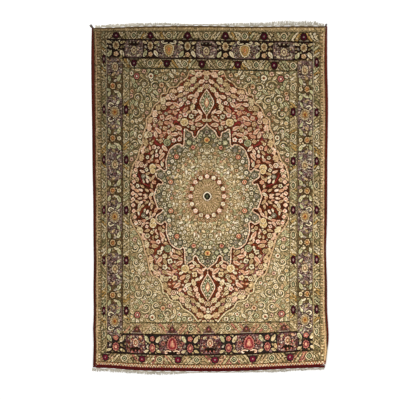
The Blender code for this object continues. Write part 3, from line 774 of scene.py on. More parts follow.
def main_border(c):
    """Motifs take turns round the rug, and small leaves and flowers fill the rest."""
    c.band(-MINOR_X, MINOR_X, TOP["main"], TOP["minor"], "black", False)
    c.band(-MINOR_X, MINOR_X, LOW["minor"], LOW["main"], "coal", False)
    for side in (-1, 1):
        x = side * (MAIN_X + MINOR_X) / 2
        c.band(side * MAIN_X, side * MINOR_X, LOW["main"], TOP["main"], "umber", False)
        c.mix(x, 0, 7.6, TOP["main"], "0.3 olive 0.2 walnut 0.2 moss 0.1 bark")
        places = row(136.5, -SIDE_STEP, 11)
        side_crown(c, x, places[0] - 7, -side, 17)
        for k in range(2, 11, 2):
            draw = side_shield if k % 4 else side_crown
            draw(c, x, places[k], -side)
        for y in places[1::2]:
            side_stack(c, x, y, -side)
    top_y, low_y = (TOP["main"] + TOP["minor"]) / 2, (LOW["main"] + LOW["minor"]) / 2
    for k in range(-2, 3):
        draw = shield if k % 2 else crown
        draw(c, k * TOP_STEP, top_y, 1)
        draw(c, k * LOW_STEP + 2, low_y, -1)
    for k in range(6):
        stack(c, -93.9 + TOP_STEP * k, top_y, 1)
        stack(c, -94 + LOW_STEP * k, low_y, -1)

    def on_border(x, y, size):
        at_side = MAIN_X + 1 < abs(x) and LOW["minor"] + 1 < y < TOP["minor"] - 1
        at_end = LOW["minor"] + 1 < y < LOW["main"] - 1 or TOP["main"] + 1 < y < TOP["minor"] - 1
        return abs(x) < MINOR_X - 1 and (at_side or at_end)

    leaf, speck = c.leaves(MUTED, "bark"), c.specks("khaki walnut moth plum sand".split())
    bloom = c.blooms([flower(f"bark {wool} umber") for wool in MUTED])
    c.scatter(on_border, (leaf, 9000, 1.7, 2.3, -0.4), (bloom, 16000, 1.1, 1.6, -0.3),
              (speck, 20000, 0.6, 0.9, 0.05), mirror=False)


# ---------------- lines and guard stripes

def border_lines(c):
    """The thin lines between the borders."""
    low, high = LOW["minor"] + 0.5, TOP["minor"] - 0.5
    for side in (-1, 1):
        for line, width, wool in ((MINOR_X, 0.9, "moth"), (MAIN_X, 0.6, "bark"), (FIELD_X, 0.6, "moss"),
                                  (GUARD_X, 0.6, "moss")):
            c.band(side * line - width / 2, side * line + width / 2, low, high, wool)
        c.band(side * (MINOR_X - 0.45), side * (MINOR_X + 0.45), low, 10, "khaki")
    for line, width, wool, reach in (
            (TOP["minor"], 1.0, "black", MINOR_X), (TOP["main"], 1.1, "black", MAIN_X),
            (TOP["field"], 1.0, "pine", FIELD_X), (LOW["minor"], 1.1, "black", MINOR_X),
            (LOW["main"], 1.1, "black", MAIN_X), (LOW["field"], 0.8, "moss", FIELD_X),
            (TOP["guard"], 0.8, "pine", GUARD_X), (LOW["guard"], 0.6, "walnut", GUARD_X)):
        c.band(-reach, reach, line - width / 2, line + width / 2, wool)


def guard_stripes(c):
    """Dots inside a pale line at the sides, plain lines at the top, a red band with checks at the low end."""
    pitch, check = 2.8, 1.3
    for side in (-1, 1):
        c.band(side * GUARD_X, side * EDGE_X, LOW["edge"], TOP["edge"], "dun")
        c.band(side * (EDGE_X - 1.7), side * (EDGE_X - 0.7), LOW["edge"], TOP["edge"], "biscuit")
        for k in range(int((TOP["edge"] - LOW["edge"]) / pitch)):
            y = LOW["edge"] + pitch / 2 + k * pitch
            c.bloom(side * (GUARD_X + 2.0), y, 1.1, "1 " + c.pick(("tan", "khaki", "straw")), petals=4)
            x = side * (GUARD_X + 0.9 + 1.6 * c.rng.random())
            c.bloom(x, y + pitch / 2, 0.9, "1 " + c.pick(("olive", "moss", "walnut")), petals=4)
    c.band(-EDGE_X, EDGE_X, TOP["guard"], TOP["edge"], "khaki")
    for gap, width, wool in ((0.3, 0.6, "dun"), (1.7, 1.0, "tan"), (3.0, 0.6, "walnut")):
        c.band(-EDGE_X + 1, EDGE_X - 1, TOP["guard"] + gap, TOP["guard"] + gap + width, wool)
    c.band(-EDGE_X, EDGE_X, LOW["edge"], LOW["guard"], "garnet")
    for k in range(int(2 * EDGE_X / check)):
        x = -EDGE_X + k * check
        c.band(x, x + check, LOW["guard"] - 1.9, LOW["guard"] - 0.6, ("sand", "rust", "oat", "fawn")[k % 4])
        c.band(x, x + check, LOW["guard"] - 3.4, LOW["guard"] - 2.0, ("garnet", "oat", "rust", "dove")[k % 4])
    c.band(-EDGE_X, EDGE_X, LOW["edge"], LOW["edge"] + 1.0, "wine")


# ---------------- wear, and the whole chart

WORN_SHARE, WEAR_GRAIN = 0.26, 3.0     # share of knots each way, and a blot's size in knots


def nearest_wool(scale):
    """For every wool, the one that comes closest to it made lighter or darker."""
    rgb = np.array(list(WOOL.values()), float)
    wanted = np.minimum(rgb * scale + 6 * (scale - 1), 255)
    gap = np.abs(rgb[None, :, :] - wanted[:, None, :]).sum(axis=2)
    np.fill_diagonal(gap, np.inf)
    return gap.argmin(axis=1).astype(np.uint8)


def weather(cells, rng):
    """Uneven dye and wear: blots about a square wide turn to a darker or lighter wool."""
    noise = rng.random([int(count / WEAR_GRAIN) + 3 for count in cells.shape])
    y, x = (np.arange(count) / WEAR_GRAIN for count in cells.shape)
    r, q = y.astype(int)[:, None], x.astype(int)[None, :]
    fy, fx = y[:, None] - r, x[None, :] - q
    value = (noise[r, q] * (1 - fy) * (1 - fx) + noise[r + 1, q] * fy * (1 - fx)
             + noise[r, q + 1] * (1 - fy) * fx + noise[r + 1, q + 1] * fy * fx)
    lighter = np.where(value > 1 - WORN_SHARE, nearest_wool(1.35)[cells], cells)
    return np.where(value < WORN_SHARE, nearest_wool(0.62)[cells], lighter)


def paint():
    """The whole chart's wools: the field from two quarters, borders round it, then wear."""
    chart = Chart(-EDGE_X, EDGE_X, LOW["edge"], TOP["edge"], "khaki", 5)
    top, low = quarter_cells(TOP_HALF), quarter_cells(LOW_HALF)
    field = np.block([[low[::-1, ::-1], low[::-1]], [top[:, ::-1], top]])
    row, column = round((LOW["field"] - LOW["edge"]) * KNOTS), round((EDGE_X - FIELD_X) * KNOTS)
    chart.cells[row:row + field.shape[0], column:column + field.shape[1]] = field
    for paint_part in (main_border, minor_borders, border_lines, guard_stripes):
        paint_part(chart)
    return weather(chart.cells, np.random.default_rng(6))


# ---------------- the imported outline

SLAB_TOP, SELVEDGE_TOP, KILIM_TOP = 9.0 * MM, 7.0 * MM, 3.0 * MM
SIDE_REACH, END_REACH = 0.62, 0.96      # what stands further out belongs to an edge, in metres
MIDDLE_LEAN = -0.006
# where the layout's inner lines really run, in metres: line, place, share of the lean
LINES_ACROSS = [(-GUARD_X, -0.6347, 0), (-MINOR_X, -0.6049, 0), (-MAIN_X, -0.5095, 0),
                (-FIELD_X, -0.468, 0.3), (-53, -0.3247, 1), (0, -0.0152, 1), (53, 0.3024, 1),
                (FIELD_X, 0.4657, 0.3), (MAIN_X, 0.5107, 0), (MINOR_X, 0.606, 0), (GUARD_X, 0.6447, 0)]
# and line, place, tilt, bow
LINES_ALONG = [(LOW["guard"], -0.9564, 0.003, -0.0236), (LOW["minor"], -0.8935, 0.0081, -0.027),
               (LOW["main"], -0.781, 0.0089, -0.0205), (LOW["field"], -0.727, 0.005, -0.005),
               (0, 0.007, 0, 0), (TOP["field"], 0.747, -0.014, 0.001), (TOP["main"], 0.81, -0.0095, 0.0015),
               (TOP["minor"], 0.9175, -0.0095, 0.001), (TOP["guard"], 0.97, -0.003, 0.003)]


def node_points(name):
    """A node's vertices, in metres."""
    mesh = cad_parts[name].data
    points = np.empty(len(mesh.vertices) * 3)
    mesh.vertices.foreach_get("co", points)
    return np.unique(points.reshape(-1, 3).round(5), axis=0)


def stations(points, axis, corners=1, depth=0.0):
    """The places along an axis where a solid has enough corners and depth, with its least and most reach
    across the axis there."""
    found = []
    for place in np.unique(points[:, axis].round(4)):
        across = points[np.abs(points[:, axis] - place) < 0.0001, 1 - axis]
        if len(across) >= corners and np.ptp(across) >= depth:
            found.append((place, across.min(), across.max()))
    return np.transpose(found)


def slab_edges():
    """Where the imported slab's four edges run: places along each one, and how far out it is there."""
    points = node_points("pile")
    wall = points[np.abs(points[:, 2] - SLAB_TOP / 2) < SLAB_TOP * 0.36]
    edges = []
    for axis, sign, reach in ((0, -1, SIDE_REACH), (0, 1, SIDE_REACH), (1, -1, END_REACH), (1, 1, END_REACH)):
        at, least, most = stations(wall[wall[:, axis] * sign > reach], 1 - axis)
        edges.append((at, most if sign > 0 else least))
    return edges


def bend(value, lines):
    """Takes layout places to real ones, straight between layout lines with real places of their own."""
    real = lines[0][1]
    for (start, first), (end, second) in zip(lines, lines[1:]):
        real = real + (second - first) * np.clip((value - start) / (end - start), 0, 1)
    return real


def warp_grid(rows, columns):
    """Real places of the grid's corners."""
    left, right, low, top = slab_edges()
    column = np.linspace(-EDGE_X, EDGE_X, columns + 1)[None, :]
    row = np.linspace(LOW["edge"], TOP["edge"], rows + 1)[:, None]
    x, y = (part * SQUARE for part in np.broadcast_arrays(column, row))
    # x depends on y and y on x, so both are worked out a few times
    for _ in range(3):
        across = x / (EDGE_X * SQUARE)
        lines = [(line, place + MIDDLE_LEAN * share * y) for line, place, share in LINES_ACROSS]
        crosswise = bend(column, [(-EDGE_X, np.interp(y, *left)), *lines, (EDGE_X, np.interp(y, *right))])
        lines = [(line, place + tilt * across + bow * (1 - across ** 2))
                 for line, place, tilt, bow in LINES_ALONG]
        y = bend(row, [(LOW["edge"], np.interp(x, *low)), *lines, (TOP["edge"], np.interp(x, *top))])
        x = crosswise
    return x, y


# ---------------- the pile

BACK_ROWS, BACK_COLUMNS = 4, 2     # layout squares to a face of the underside
DIGITS = 64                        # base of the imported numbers, above the number of wools
WALL_LEVELS = ((SLAB_TOP * 0.45, 0), (1.0 * MM, 0), (0, 0.8 * MM))     # height, and share drawn in
RIM_DROP, NEXT_DROP = 1.5 * MM, 0.15 * MM     # the sheared rim
WAVES = 7                          # slight waves added up over the top
PHASES = 6.28                      # a random phase lies below this


def add_piece(name, node, slot, material, points, faces):
    """Adds a piece that shows one of the part's solids."""
    mesh = bpy.data.meshes.new(name)
    mesh.from_pydata(points.tolist(), [], faces)
    mesh.validate()
    mesh.update()
    mesh.shade_smooth()
    mesh.materials.append(material)
    piece = bpy.data.objects.new(name, mesh)
    scene.collection.objects.link(piece)
    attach(piece, "root")
    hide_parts(node)
    return piece


def back_faces(rows, columns):
    """The grid corners of the underside's faces: each spans several squares, with every corner on the rim."""
    for r in range(0, rows, BACK_ROWS):
        for c in range(0, columns, BACK_COLUMNS):
            r1, c1 = r + BACK_ROWS, c + BACK_COLUMNS
            walk = [*((k, c) for k in range(r + 1, r1)), *((r1, k) for k in range(c, c1)),
                    *((k, c1) for k in range(r1, r, -1)), *((r, k) for k in range(c1, c - 1, -1))]
            yield [(a, b) for a, b in walk
                   if (a in (r, r1) and b in (c, c1)) or a in (0, rows) or b in (0, columns)]


def pack_knots(cells):
    """Four by four wools to a face: each of its four numbers holds a row of four, as digits."""
    rows, columns = (count // KNOTS for count in cells.shape)
    block = cells.reshape(rows, KNOTS, columns, KNOTS) * float(DIGITS) ** np.arange(KNOTS)
    return block.sum(axis=3).transpose(0, 2, 1).reshape(-1, KNOTS)


def pile_height(x, y):
    """The top's height: slight waves, and a sheared rim."""
    rng = np.random.default_rng(3)
    wave = 0
    for _ in range(WAVES):
        kx, ky, phase = rng.normal(0, 3.0), rng.normal(0, 3.0), rng.random() * PHASES
        wave = wave + np.sin(kx * x * 2 + ky * y * 2 + phase)
    row, column = np.indices(x.shape)
    from_rim = np.minimum.reduce([row, row[::-1], column, column[:, ::-1]])
    sheared = np.select([from_rim == 0, from_rim == 1], [RIM_DROP, NEXT_DROP], 0)
    return SLAB_TOP - 0.25 * MM + 0.05 * MM * wave - sheared


def mark_knots(mesh, cells, sides, share, back_corners):
    """Gives every face its knots, and every corner its place: as a share of the rug, and in knots."""
    back_cells = cells[BACK_ROWS // 2::BACK_ROWS, BACK_COLUMNS // 2::BACK_COLUMNS]
    side_cells = np.full((KNOTS, sides * KNOTS), INDEX["straw"])
    packed = np.concatenate([pack_knots(part) for part in (back_cells, side_cells, cells)])
    mesh.attributes.new("knots", "FLOAT_COLOR", "FACE").data.foreach_set("color", packed.ravel())
    corner = np.empty(len(mesh.loops), int)
    mesh.loops.foreach_get("vertex_index", corner)
    at_back = np.arange(len(corner)) < back_corners
    knots = np.where(at_back[:, None], back_cells.shape[::-1], cells.shape[::-1])
    for name, values in (("OFBake", share[corner]), ("knot_place", share[corner] * knots)):
        mesh.uv_layers.new(name=name).uv.foreach_set("vector", values.ravel())


def pile_piece(cells, material):
    """The cut pile, one closed slab. Its top has one face for each square of four by four knots. The
    underside shows the same design in fewer faces, which come first, so that a bake of the shared map ends
    with the top."""
    rows, columns = (count // KNOTS for count in cells.shape)
    x, y = warp_grid(rows, columns)
    index = np.arange(x.size).reshape(x.shape)
    quads = np.stack([index[:-1, :-1], index[:-1, 1:], index[1:, 1:], index[1:, :-1]], axis=-1).reshape(-1, 4)
    ring = np.r_[index[0, :-1], index[:-1, -1], index[-1, :0:-1], index[:0:-1, 0]]
    top = np.c_[x.ravel(), y.ravel(), pile_height(x, y).ravel()]
    points = [top]
    walls = []
    above, count = ring, len(top)
    for height, inset in WALL_LEVELS:
        points.append(top[ring] * (1 - inset, 1 - inset, 0) + (0, 0, height))
        below = count + np.arange(len(ring))
        walls.append(np.stack([np.roll(above, -1), above, below, np.roll(below, -1)], axis=-1))
        above, count = below, count + len(ring)
    inner = np.s_[BACK_ROWS:rows:BACK_ROWS, BACK_COLUMNS:columns:BACK_COLUMNS]
    points.append(np.c_[x[inner].ravel(), y[inner].ravel(), np.zeros(x[inner].size)])
    low = np.full(index.shape, -1)
    low.ravel()[ring] = above
    low[inner] = count + np.arange(x[inner].size).reshape(x[inner].shape)
    back = [[int(low[corner]) for corner in face] for face in back_faces(rows, columns)]
    sides = np.concatenate(walls)
    piece = add_piece("rug_pile", "pile", "pile", material, np.concatenate(points),
                      back + sides.tolist() + quads.tolist())
    grid = np.stack(np.indices(x.shape)[::-1], axis=-1) / (columns, rows)
    flat = grid.reshape(-1, 2)
    share = np.concatenate([flat, *[flat[ring]] * len(walls), grid[inner].reshape(-1, 2)])
    mark_knots(piece.data, cells, len(sides), share, sum(map(len, back)))
    return piece


# ---------------- materials

def to_linear(rgb):
    """An sRGB colour as Blender's linear numbers."""
    c = np.asarray(rgb, float) / 255
    return np.where(c <= 0.04045, c / 12.92, ((c + 0.055) / 1.055) ** 2.4)


def operator(operation):
    """An arithmetic sign that adds a math node."""
    return lambda value, other: value.math(operation, other)


class Value:
    """A node's output. Arithmetic with it adds math nodes."""

    def __init__(self, shader, socket):
        self.shader, self.socket = shader, socket

    def math(self, operation, *others):
        node = self.shader.tree.nodes.new("ShaderNodeMath")
        node.operation = operation
        for socket, value in zip(node.inputs, (self, *others)):
            self.shader.put(value, socket)
        return Value(self.shader, node.outputs[0])

    __add__ = operator("ADD")
    __sub__ = operator("SUBTRACT")
    __mul__ = operator("MULTIPLY")
    __truediv__ = operator("DIVIDE")
    __gt__ = operator("GREATER_THAN")

    def __rsub__(self, number):
        return self.math("MULTIPLY_ADD", -1, number)

    def floor(self):
        return self.math("FLOOR")

    def rest(self, number):
        """What is left after division by a number."""
        return self - (self / number).floor() * number


class Shader:
    """A Principled material and short ways to add nodes to it."""

    def __init__(self, name, **inputs):
        self.material = bpy.data.materials.new(name)
        self.material.use_nodes = True
        self.tree = self.material.node_tree
        self.surface = self.tree.nodes["Principled BSDF"]
        for name, value in inputs.items():
            self.put(value, self.surface.inputs[name.replace("_", " ")])

    def put(self, value, socket):
        if isinstance(value, Value):
            self.tree.links.new(value.socket, socket)
        else:
            socket.default_value = value

    def node(self, kind, **options):
        """Adds a node and returns its outputs by name. Inputs are the options that start with a capital."""
        node = self.tree.nodes.new("ShaderNode" + kind)
        for name, value in options.items():
            if name[0].isupper():
                self.put(value, node.inputs[name.replace("_", " ")])
            else:
                setattr(node, name, value)
        return {output.name: Value(self, output) for output in node.outputs}

    def vector(self, x, y):
        return self.node("CombineXYZ", X=x, Y=y)["Vector"]

    def across_along(self, uv_map):
        """A UV map's two values."""
        split = self.node("SeparateXYZ", Vector=self.node("UVMap", uv_map=uv_map)["UV"])
        return split["X"], split["Y"]

    def mix(self, share, first, second, blend="MIX"):
        node = self.tree.nodes.new("ShaderNodeMix")
        node.data_type = "RGBA"
        node.blend_type = blend
        # this node's colour sockets share their names with its other sockets
        for socket, value in ((0, share), (6, first), (7, second)):
            self.put(value, node.inputs[socket])
        return Value(self, node.outputs[2])

    def ramp(self, value, stops, interpolation="LINEAR"):
        node = self.tree.nodes.new("ShaderNodeValToRGB")
        ramp = node.color_ramp
        ramp.interpolation = interpolation
        for k, (place, colour) in enumerate(stops):
            stop = ramp.elements[k] if k < 2 else ramp.elements.new(place)
            stop.position = place
            stop.color = (*colour, 1)
        self.put(value, node.inputs[0])
        return Value(self, node.outputs[0])

    def finish(self, colour, height, strength, distance):
        """Adds the colour and a bump, and returns the material."""
        bump = self.node("Bump", Strength=strength, Distance=distance, Height=height)
        self.put(colour, self.surface.inputs["Base Color"])
        self.put(bump["Normal"], self.surface.inputs["Normal"])
        return self.material


HALF = 32                    # a colour ramp holds this many wools
LIT_AND_WORN_ACROSS, LIT_AND_WORN_ALONG, LIT_AND_WORN = 0.5, -0.7, 0.95     # painted light with wear: the top left shaded darker, the low right corner lit paler and the most worn


def knot_wool(s, column, row):
    """The number of the wool at a knot, unpacked from its face."""
    packed = s.node("Attribute", attribute_name="knots")
    rows = s.node("SeparateColor", Color=packed["Color"])
    digits = rows["Red"]
    for k, channel in enumerate((rows["Green"], rows["Blue"], packed["Alpha"])):
        beyond = row.rest(KNOTS) > k + 0.5
        digits = digits * (1 - beyond) + channel * beyond
    divisor = 1
    for k in range(1, KNOTS):
        divisor = (column.rest(KNOTS) > k - 0.5) * (DIGITS ** k - DIGITS ** (k - 1)) + divisor
    return (digits / divisor).floor().rest(DIGITS)


def pile_material():
    """Every knot's wool, then abrash, painted light and wear across the rug, and knot relief."""
    s = Shader("pile_wool", Roughness=0.92, Sheen_Weight=0.02, Sheen_Roughness=0.5, Specular_IOR_Level=0.05)
    across, up = s.across_along("OFBake")
    u, v = s.across_along("knot_place")
    column, row = u.floor(), v.floor()
    wool = knot_wool(s, column, row)
    colours = [to_linear(rgb) for rgb in WOOL.values()]
    ramps = []
    for start in (0, HALF):
        stops = [(k / HALF, colour) for k, colour in enumerate(colours[start:start + HALF])]
        ramps.append(s.ramp((wool + (0.5 - start)) / HALF, stops, "CONSTANT"))
    colour = s.mix(wool > HALF - 0.5, *ramps)
    # each knot a little lighter or darker, the dye lots changing along the length, and painted light with
    # wear: shade to the top left, light and wear to the low right
    grain = s.node("TexWhiteNoise", noise_dimensions="2D", Vector=s.vector(column, row))["Value"]
    lots = s.node("TexNoise", noise_dimensions="2D", Scale=1.0, Detail=2.0,
                  Vector=s.vector(across * 0.8, up * 18))["Fac"]
    # painted shade and light, partly wear: the rug darker to the top left and paler to the low right
    painted_light_and_wear = (across - 0.5) * LIT_AND_WORN_ACROSS + (up - 0.5) * LIT_AND_WORN_ALONG
    light = (grain * 0.2 + 0.9) * (lots * 0.14 + 0.93) * ((painted_light_and_wear + 1.0) * LIT_AND_WORN)
    grey = s.node("CombineColor", Red=light, Green=light, Blue=light)["Color"]
    # relief: each knot is a small mound
    du, dv = u - column - 0.5, v - row - 0.5
    height = 1 - (du * du + dv * dv) * 2 + grain * 0.6
    return s.finish(s.mix(1.0, colour, grey, "MULTIPLY"), height, 0.35, 0.6 * MM)


def wool_material(name, dark, light, stretch):
    """Spun yarn: two tones and a fine relief along the yarn."""
    s = Shader(name, Roughness=0.9, Sheen_Weight=0.03, Sheen_Roughness=0.5, Specular_IOR_Level=0.12)
    where = s.node("TexCoord")["Object"]
    along_yarn = s.node("Mapping", Vector=where, Scale=stretch)["Vector"]
    fine = s.node("TexNoise", Vector=along_yarn, Scale=1.0, Detail=4.0, Roughness=0.6)["Fac"]
    broad = s.node("TexNoise", Vector=where, Scale=14.0, Detail=3.0)["Fac"]
    colour = s.ramp(fine * 0.6 + broad * 0.4, [(0.3, to_linear(dark)), (0.7, to_linear(light))])
    return s.finish(colour, fine, 0.4, 1.0 * MM)


# ---------------- edges and ends

WRAP_PITCH, WARP_PITCH, CLUMP_PITCH = 2.6 * MM, 2.9 * MM, 9 * MM
WEFTS = 9                          # ribs across a woven band
KILIM_GROWTH = 4.0 * MM            # the low band shows deeper than its solid
WOBBLES, FRINGE_BINS = 260, 110    # places along the yarn's wobble and along the fringe's outline
HEADING_TURNS, STRANDS, LOCKS = 420, 900, 46
STRAND_SIDES, STRAND_STEPS = 4, 5
STRAND_TWIST, STRAND_WAVE = 2.4, 4.2     # radians from root to tip
STRAND_HEIGHT = 0.9                # of its width


def sweep(corners, flip=False):
    """A closed solid through rings of points: each corner gives its x, y and z all along the piece."""
    rings = np.array([np.broadcast_arrays(*corner) for corner in corners]).transpose(2, 0, 1)
    index = np.arange(rings.size // 3).reshape(rings.shape[:2])
    after = np.roll(index, -1, axis=1)
    sides = np.stack([index[:-1], after[:-1], after[1:], index[1:]], axis=-1).reshape(-1, 4)
    faces = [*sides.tolist(), index[0, ::-1].tolist(), index[-1].tolist()]
    return rings.reshape(-1, 3), [face[::-1] for face in faces] if flip else faces


def join(parts):
    """Several solids in one mesh."""
    faces, count = [], 0
    for points, part_faces in parts:
        faces += [[i + count for i in face] for face in part_faces]
        count += len(points)
    return np.concatenate([points for points, _ in parts]), faces


def selvedge_piece(node, material):
    """Wool wrapped round two bundles of warps: each turn of the yarn is a small ridge."""
    at, least, most = stations(node_points(node), 1, corners=6)
    count = int((at[-1] - at[0]) / WRAP_PITCH) * 4
    y = np.linspace(at[0], at[-1], count + 1)
    rng = np.random.default_rng(len(node))
    wobble = np.interp(y, np.linspace(at[0], at[-1], WOBBLES), rng.normal(0, 0.25 * MM, WOBBLES))
    ridge = (0.5 + 0.5 * np.cos(np.arange(count + 1) * TAU / 4)) * 0.5 * MM
    left = np.interp(y, at, least) + 0.5 * MM - ridge + np.abs(wobble) * 0.3
    right = np.interp(y, at, most) - 0.5 * MM + ridge
    width = right - left
    top = SELVEDGE_TOP - 0.7 * MM + ridge + wobble
    corners = [(right - 0.8 * MM, y, 0)]
    arc = np.linspace(0, math.pi, 6)
    for middle, turns in ((0.75, arc), (0.25, arc[1:])):
        for turn in turns:
            corners.append((left + width * (middle + math.cos(turn) / 4), y - 0.5 * MM * math.sin(turn),
                            top * (0.35 + 0.65 * math.sin(turn))))
    corners.append((left + 0.8 * MM, y, 0))
    points, faces = sweep(corners)
    points[:, 1] = np.clip(points[:, 1], at[0], at[-1])
    return add_piece(node + "_wrap", node, "selvedge", material, points, faces)


def kilim_piece(node, sign, slot, material, grow):
    """A flat-woven band: fine ribs of weft over the warps."""
    points = node_points(node)
    at, *edges = stations(points[np.abs(points[:, 2] - KILIM_TOP / 2) < KILIM_TOP * 0.45], 0, depth=3 * MM)
    count = int((at[-1] - at[0]) / WARP_PITCH) * 2
    x = np.linspace(at[0], at[-1], count + 1)
    inner, outer = (np.interp(x, at, edge) for edge in edges[::sign])
    outer = outer + sign * grow
    rib = 0.25 * MM * np.cos(np.arange(count + 1) * math.pi)
    shoulder, foot = KILIM_TOP - 0.9 * MM, 0.3 * MM
    corners = [(x, inner, foot), (x, inner, shoulder)]
    for t in np.linspace(0.06, 0.94, WEFTS):
        weft = 0.12 * MM * math.cos(t * (WEFTS - 1) * math.pi)
        corners.append((x, inner + (outer - inner) * t, KILIM_TOP - 0.4 * MM + rib + weft))
    corners += [(x, outer, shoulder), (x, outer, foot), (x, (inner + outer) / 2, 0)]
    return add_piece(node + "_weave", node, slot, material, *sweep(corners, sign > 0))


def strand(rng, root, tip, lift, width, tip_width, curl):
    """One tapering lock of yarn from root to tip, a little waved, its low side on the floor."""
    t = np.arange(STRAND_STEPS + 1) / STRAND_STEPS
    way = np.subtract(tip, root)
    aside = np.array((-way[1], way[0])) / max(np.hypot(*way), 1e-6)
    phase = rng.random() * PHASES
    half = (width + (tip_width - width) * t) / 2
    middle = half * STRAND_HEIGHT + lift * np.sin(math.pi * np.minimum(t * 1.1, 1)) + 0.02 * MM
    corners = []
    for side in range(STRAND_SIDES):
        turn = phase + t * STRAND_TWIST + side * TAU / STRAND_SIDES
        off = curl * np.sin(phase + t * STRAND_WAVE) * t + np.cos(turn) * half
        corners.append((root[0] + way[0] * t + aside[0] * off, root[1] + way[1] * t + aside[1] * off,
                        np.maximum(middle + np.sin(turn) * half * STRAND_HEIGHT, 0)))
    return sweep(corners)


def heading(left, right, middle, roots, sign):
    """The twined cord that holds the fringe."""
    k = np.arange(HEADING_TURNS + 1)
    x = left + (right - left) * k / HEADING_TURNS
    base = np.interp(x, middle, roots) * sign
    thick = 1.0 * MM + 0.2 * MM * np.cos(k * math.pi)
    corners = [(x, base + sign * (2.0 * MM + 1.9 * MM * math.cos(a)),
                np.maximum(1.05 * MM + thick * math.sin(a), 0)) for a in np.linspace(0, TAU, 7)[:-1]]
    return sweep(corners, sign > 0)


def fringe_piece(node, sign, material, seed, grow):
    """Several hundred loose warp ends on their narrow heading."""
    points = node_points(node)
    left, right = points[:, 0].min(), points[:, 0].max()
    bins = np.linspace(left, right, FRINGE_BINS)
    middle = (bins[:-1] + bins[1:]) / 2
    near = [sign * points[(points[:, 0] >= a - 4 * MM) & (points[:, 0] <= b + 4 * MM), 1]
            for a, b in zip(bins, bins[1:])]
    tips = np.array([y.max() for y in near])
    roots = np.array([y.min() for y in near]) + grow
    parts = [heading(left, right, middle, roots, sign)]
    rng = np.random.default_rng(seed)
    clump_x = np.arange(left, right + 20 * MM, CLUMP_PITCH)
    clump = rng.random(len(clump_x))
    for k in range(STRANDS):
        x = left + (right - left) * (k + 0.5 + rng.normal() * 0.3) / STRANDS
        x = np.clip(x, left + 2 * MM, right - 2 * MM)
        base = np.interp(x, middle, roots) + 2.0 * MM
        share = 0.62 + 0.3 * np.interp(x, clump_x, clump) + 0.24 * rng.random()
        length = (np.interp(x, middle, tips) - base) * share
        tip_x = np.clip(x + rng.normal() * 0.3 * length, left, right)
        parts.append(strand(rng, (x, base * sign), (tip_x, (base + length) * sign), 0.5 * MM * rng.random(),
                            2.6 * MM, 1.3 * MM, 1.0 * MM * rng.normal()))
    points, faces = join(parts)
    points[:, 0] = np.clip(points[:, 0], left - 1 * MM, right + 1 * MM)
    return add_piece(node + "_strands", node, "fringe", material, points, faces)


def tuft_piece(node, side, material, seed):
    """Dark wool ends that fan out past the corner."""
    points = node_points(node)
    low, high = points.min(0), points.max(0)
    root_x = high[0] - 2 * MM if side < 0 else low[0] + 2 * MM
    tips = points[np.argsort(np.hypot(points[:, 0] - root_x, points[:, 1] - low[1]))][-10:, :2]
    rng = np.random.default_rng(seed)
    parts = []
    for _ in range(LOCKS):
        goal = tips[rng.integers(len(tips))]
        start = low[:2] + ((high[0] - low[0]) * ((0.35 if side < 0 else 0) + 0.6 * rng.random()),
                           1.5 * MM * rng.random())
        tip = start + (goal - start) * (0.55 + 0.45 * rng.random())
        parts.append(strand(rng, start, tip, 1.0 * MM * rng.random(), 2.2 * MM, 0.9 * MM,
                            1.2 * MM * rng.normal()))
    return add_piece(node + "_wool", node, "tuft", material, *join(parts))


# ---------------- the scene

CAMERA_X, CAMERA_Y = -57.3 * MM, -14.6 * MM
PHOTO_WIDTH = 400 * SQUARE
LENS, SENSOR = 100, 36             # millimetres
FLOOR_SIZE, FLOOR_DROP = 14, 0.05 * MM
LAMPS = (("key", (-2.2, 2.6, 3.6), 3.0, 130), ("fill", (2.6, -2.0, 4.0), 4.0, 60))     # place, size, watts
SKY_STRENGTH = 0.72


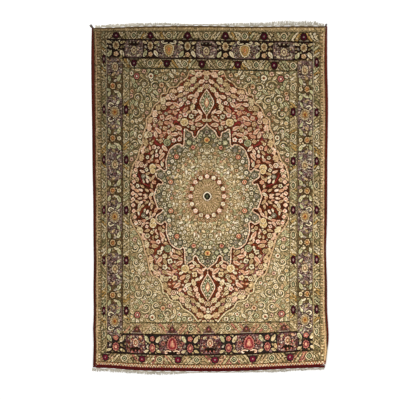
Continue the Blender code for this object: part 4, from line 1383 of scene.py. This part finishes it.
def stage():
    """A pale floor, two soft lamps and an even sky."""
    bpy.ops.mesh.primitive_plane_add(size=FLOOR_SIZE, location=(0, 0, -FLOOR_DROP))
    floor = bpy.context.object
    floor.name = "floor"
    s = Shader("floor_paint", Roughness=0.9)
    speckle = s.node("TexNoise", Scale=60.0, Detail=2.0)["Fac"]
    colour = s.ramp(speckle, [(0.3, (0.93, 0.93, 0.925)), (0.7, (0.96, 0.96, 0.955))])
    floor.data.materials.append(s.finish(colour, speckle, 0.02, 1 * MM))
    scene.world = bpy.data.worlds.new("studio")
    scene.world.use_nodes = True
    sky = scene.world.node_tree.nodes["Background"]
    sky.inputs["Color"].default_value = (1.0, 0.995, 0.985, 1)
    sky.inputs["Strength"].default_value = SKY_STRENGTH
    for name, place, size, power in LAMPS:
        lamp = bpy.data.lights.new(name, "AREA")
        lamp.size = size
        lamp.energy = power
        light = bpy.data.objects.new(name, lamp)
        light.location = place
        light.rotation_euler = (-Vector(place)).to_track_quat("-Z", "Y").to_euler()
        scene.collection.objects.link(light)


def camera():
    """Looks straight down, with the photo's width in view at the rug's top."""
    lens = bpy.data.cameras.new("camera")
    lens.lens = LENS
    lens.sensor_width = SENSOR
    eye = bpy.data.objects.new("camera", lens)
    eye.location = (CAMERA_X, CAMERA_Y, SLAB_TOP + PHOTO_WIDTH * LENS / SENSOR)
    scene.collection.objects.link(eye)
    scene.camera = eye


scene = bpy.context.scene
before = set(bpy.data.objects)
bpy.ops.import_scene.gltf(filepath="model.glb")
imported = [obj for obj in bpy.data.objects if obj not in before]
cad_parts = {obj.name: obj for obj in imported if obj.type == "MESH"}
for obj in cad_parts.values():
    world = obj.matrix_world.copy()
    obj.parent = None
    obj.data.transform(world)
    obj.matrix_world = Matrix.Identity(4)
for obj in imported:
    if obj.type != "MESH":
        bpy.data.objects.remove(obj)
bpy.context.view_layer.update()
scene.view_settings.view_transform = "Standard"

pile = pile_piece(paint(), pile_material())
# painted shade: the left edge's wool is the darker, as that side lies in shadow
for side, dark, light in (("left", (44, 12, 4), (86, 30, 14)), ("right", (58, 14, 6), (108, 38, 20))):
    wool = wool_material(f"selvedge_{side}_wool", dark, light, (900, 260, 900))
    selvedge_piece("selvedge_" + side, wool)
for end, sign, tone, dark, light, grow in (
        ("top", 1, "brown", (48, 34, 14), (98, 76, 44), 0),
        ("bottom", -1, "red", (50, 8, 8), (92, 16, 14), KILIM_GROWTH)):
    wool = wool_material(f"kilim_{tone}_wool", dark, light, (700, 700, 700))
    kilim_piece("kilim_" + end, sign, "kilim_" + tone, wool, grow)
cotton = wool_material("fringe_cotton", (142, 134, 116), (212, 204, 186), (420, 90, 420))
fringe_piece("fringe_top", 1, cotton, seed=5, grow=0)
fringe_piece("fringe_bottom", -1, cotton, seed=6, grow=KILIM_GROWTH)
dark_wool = wool_material("tuft_wool", (58, 48, 42), (112, 100, 92), (400, 400, 400))
tuft_piece("tuft_left", -1, dark_wool, seed=7)
tuft_piece("tuft_right", 1, dark_wool, seed=8)

stage()
camera()
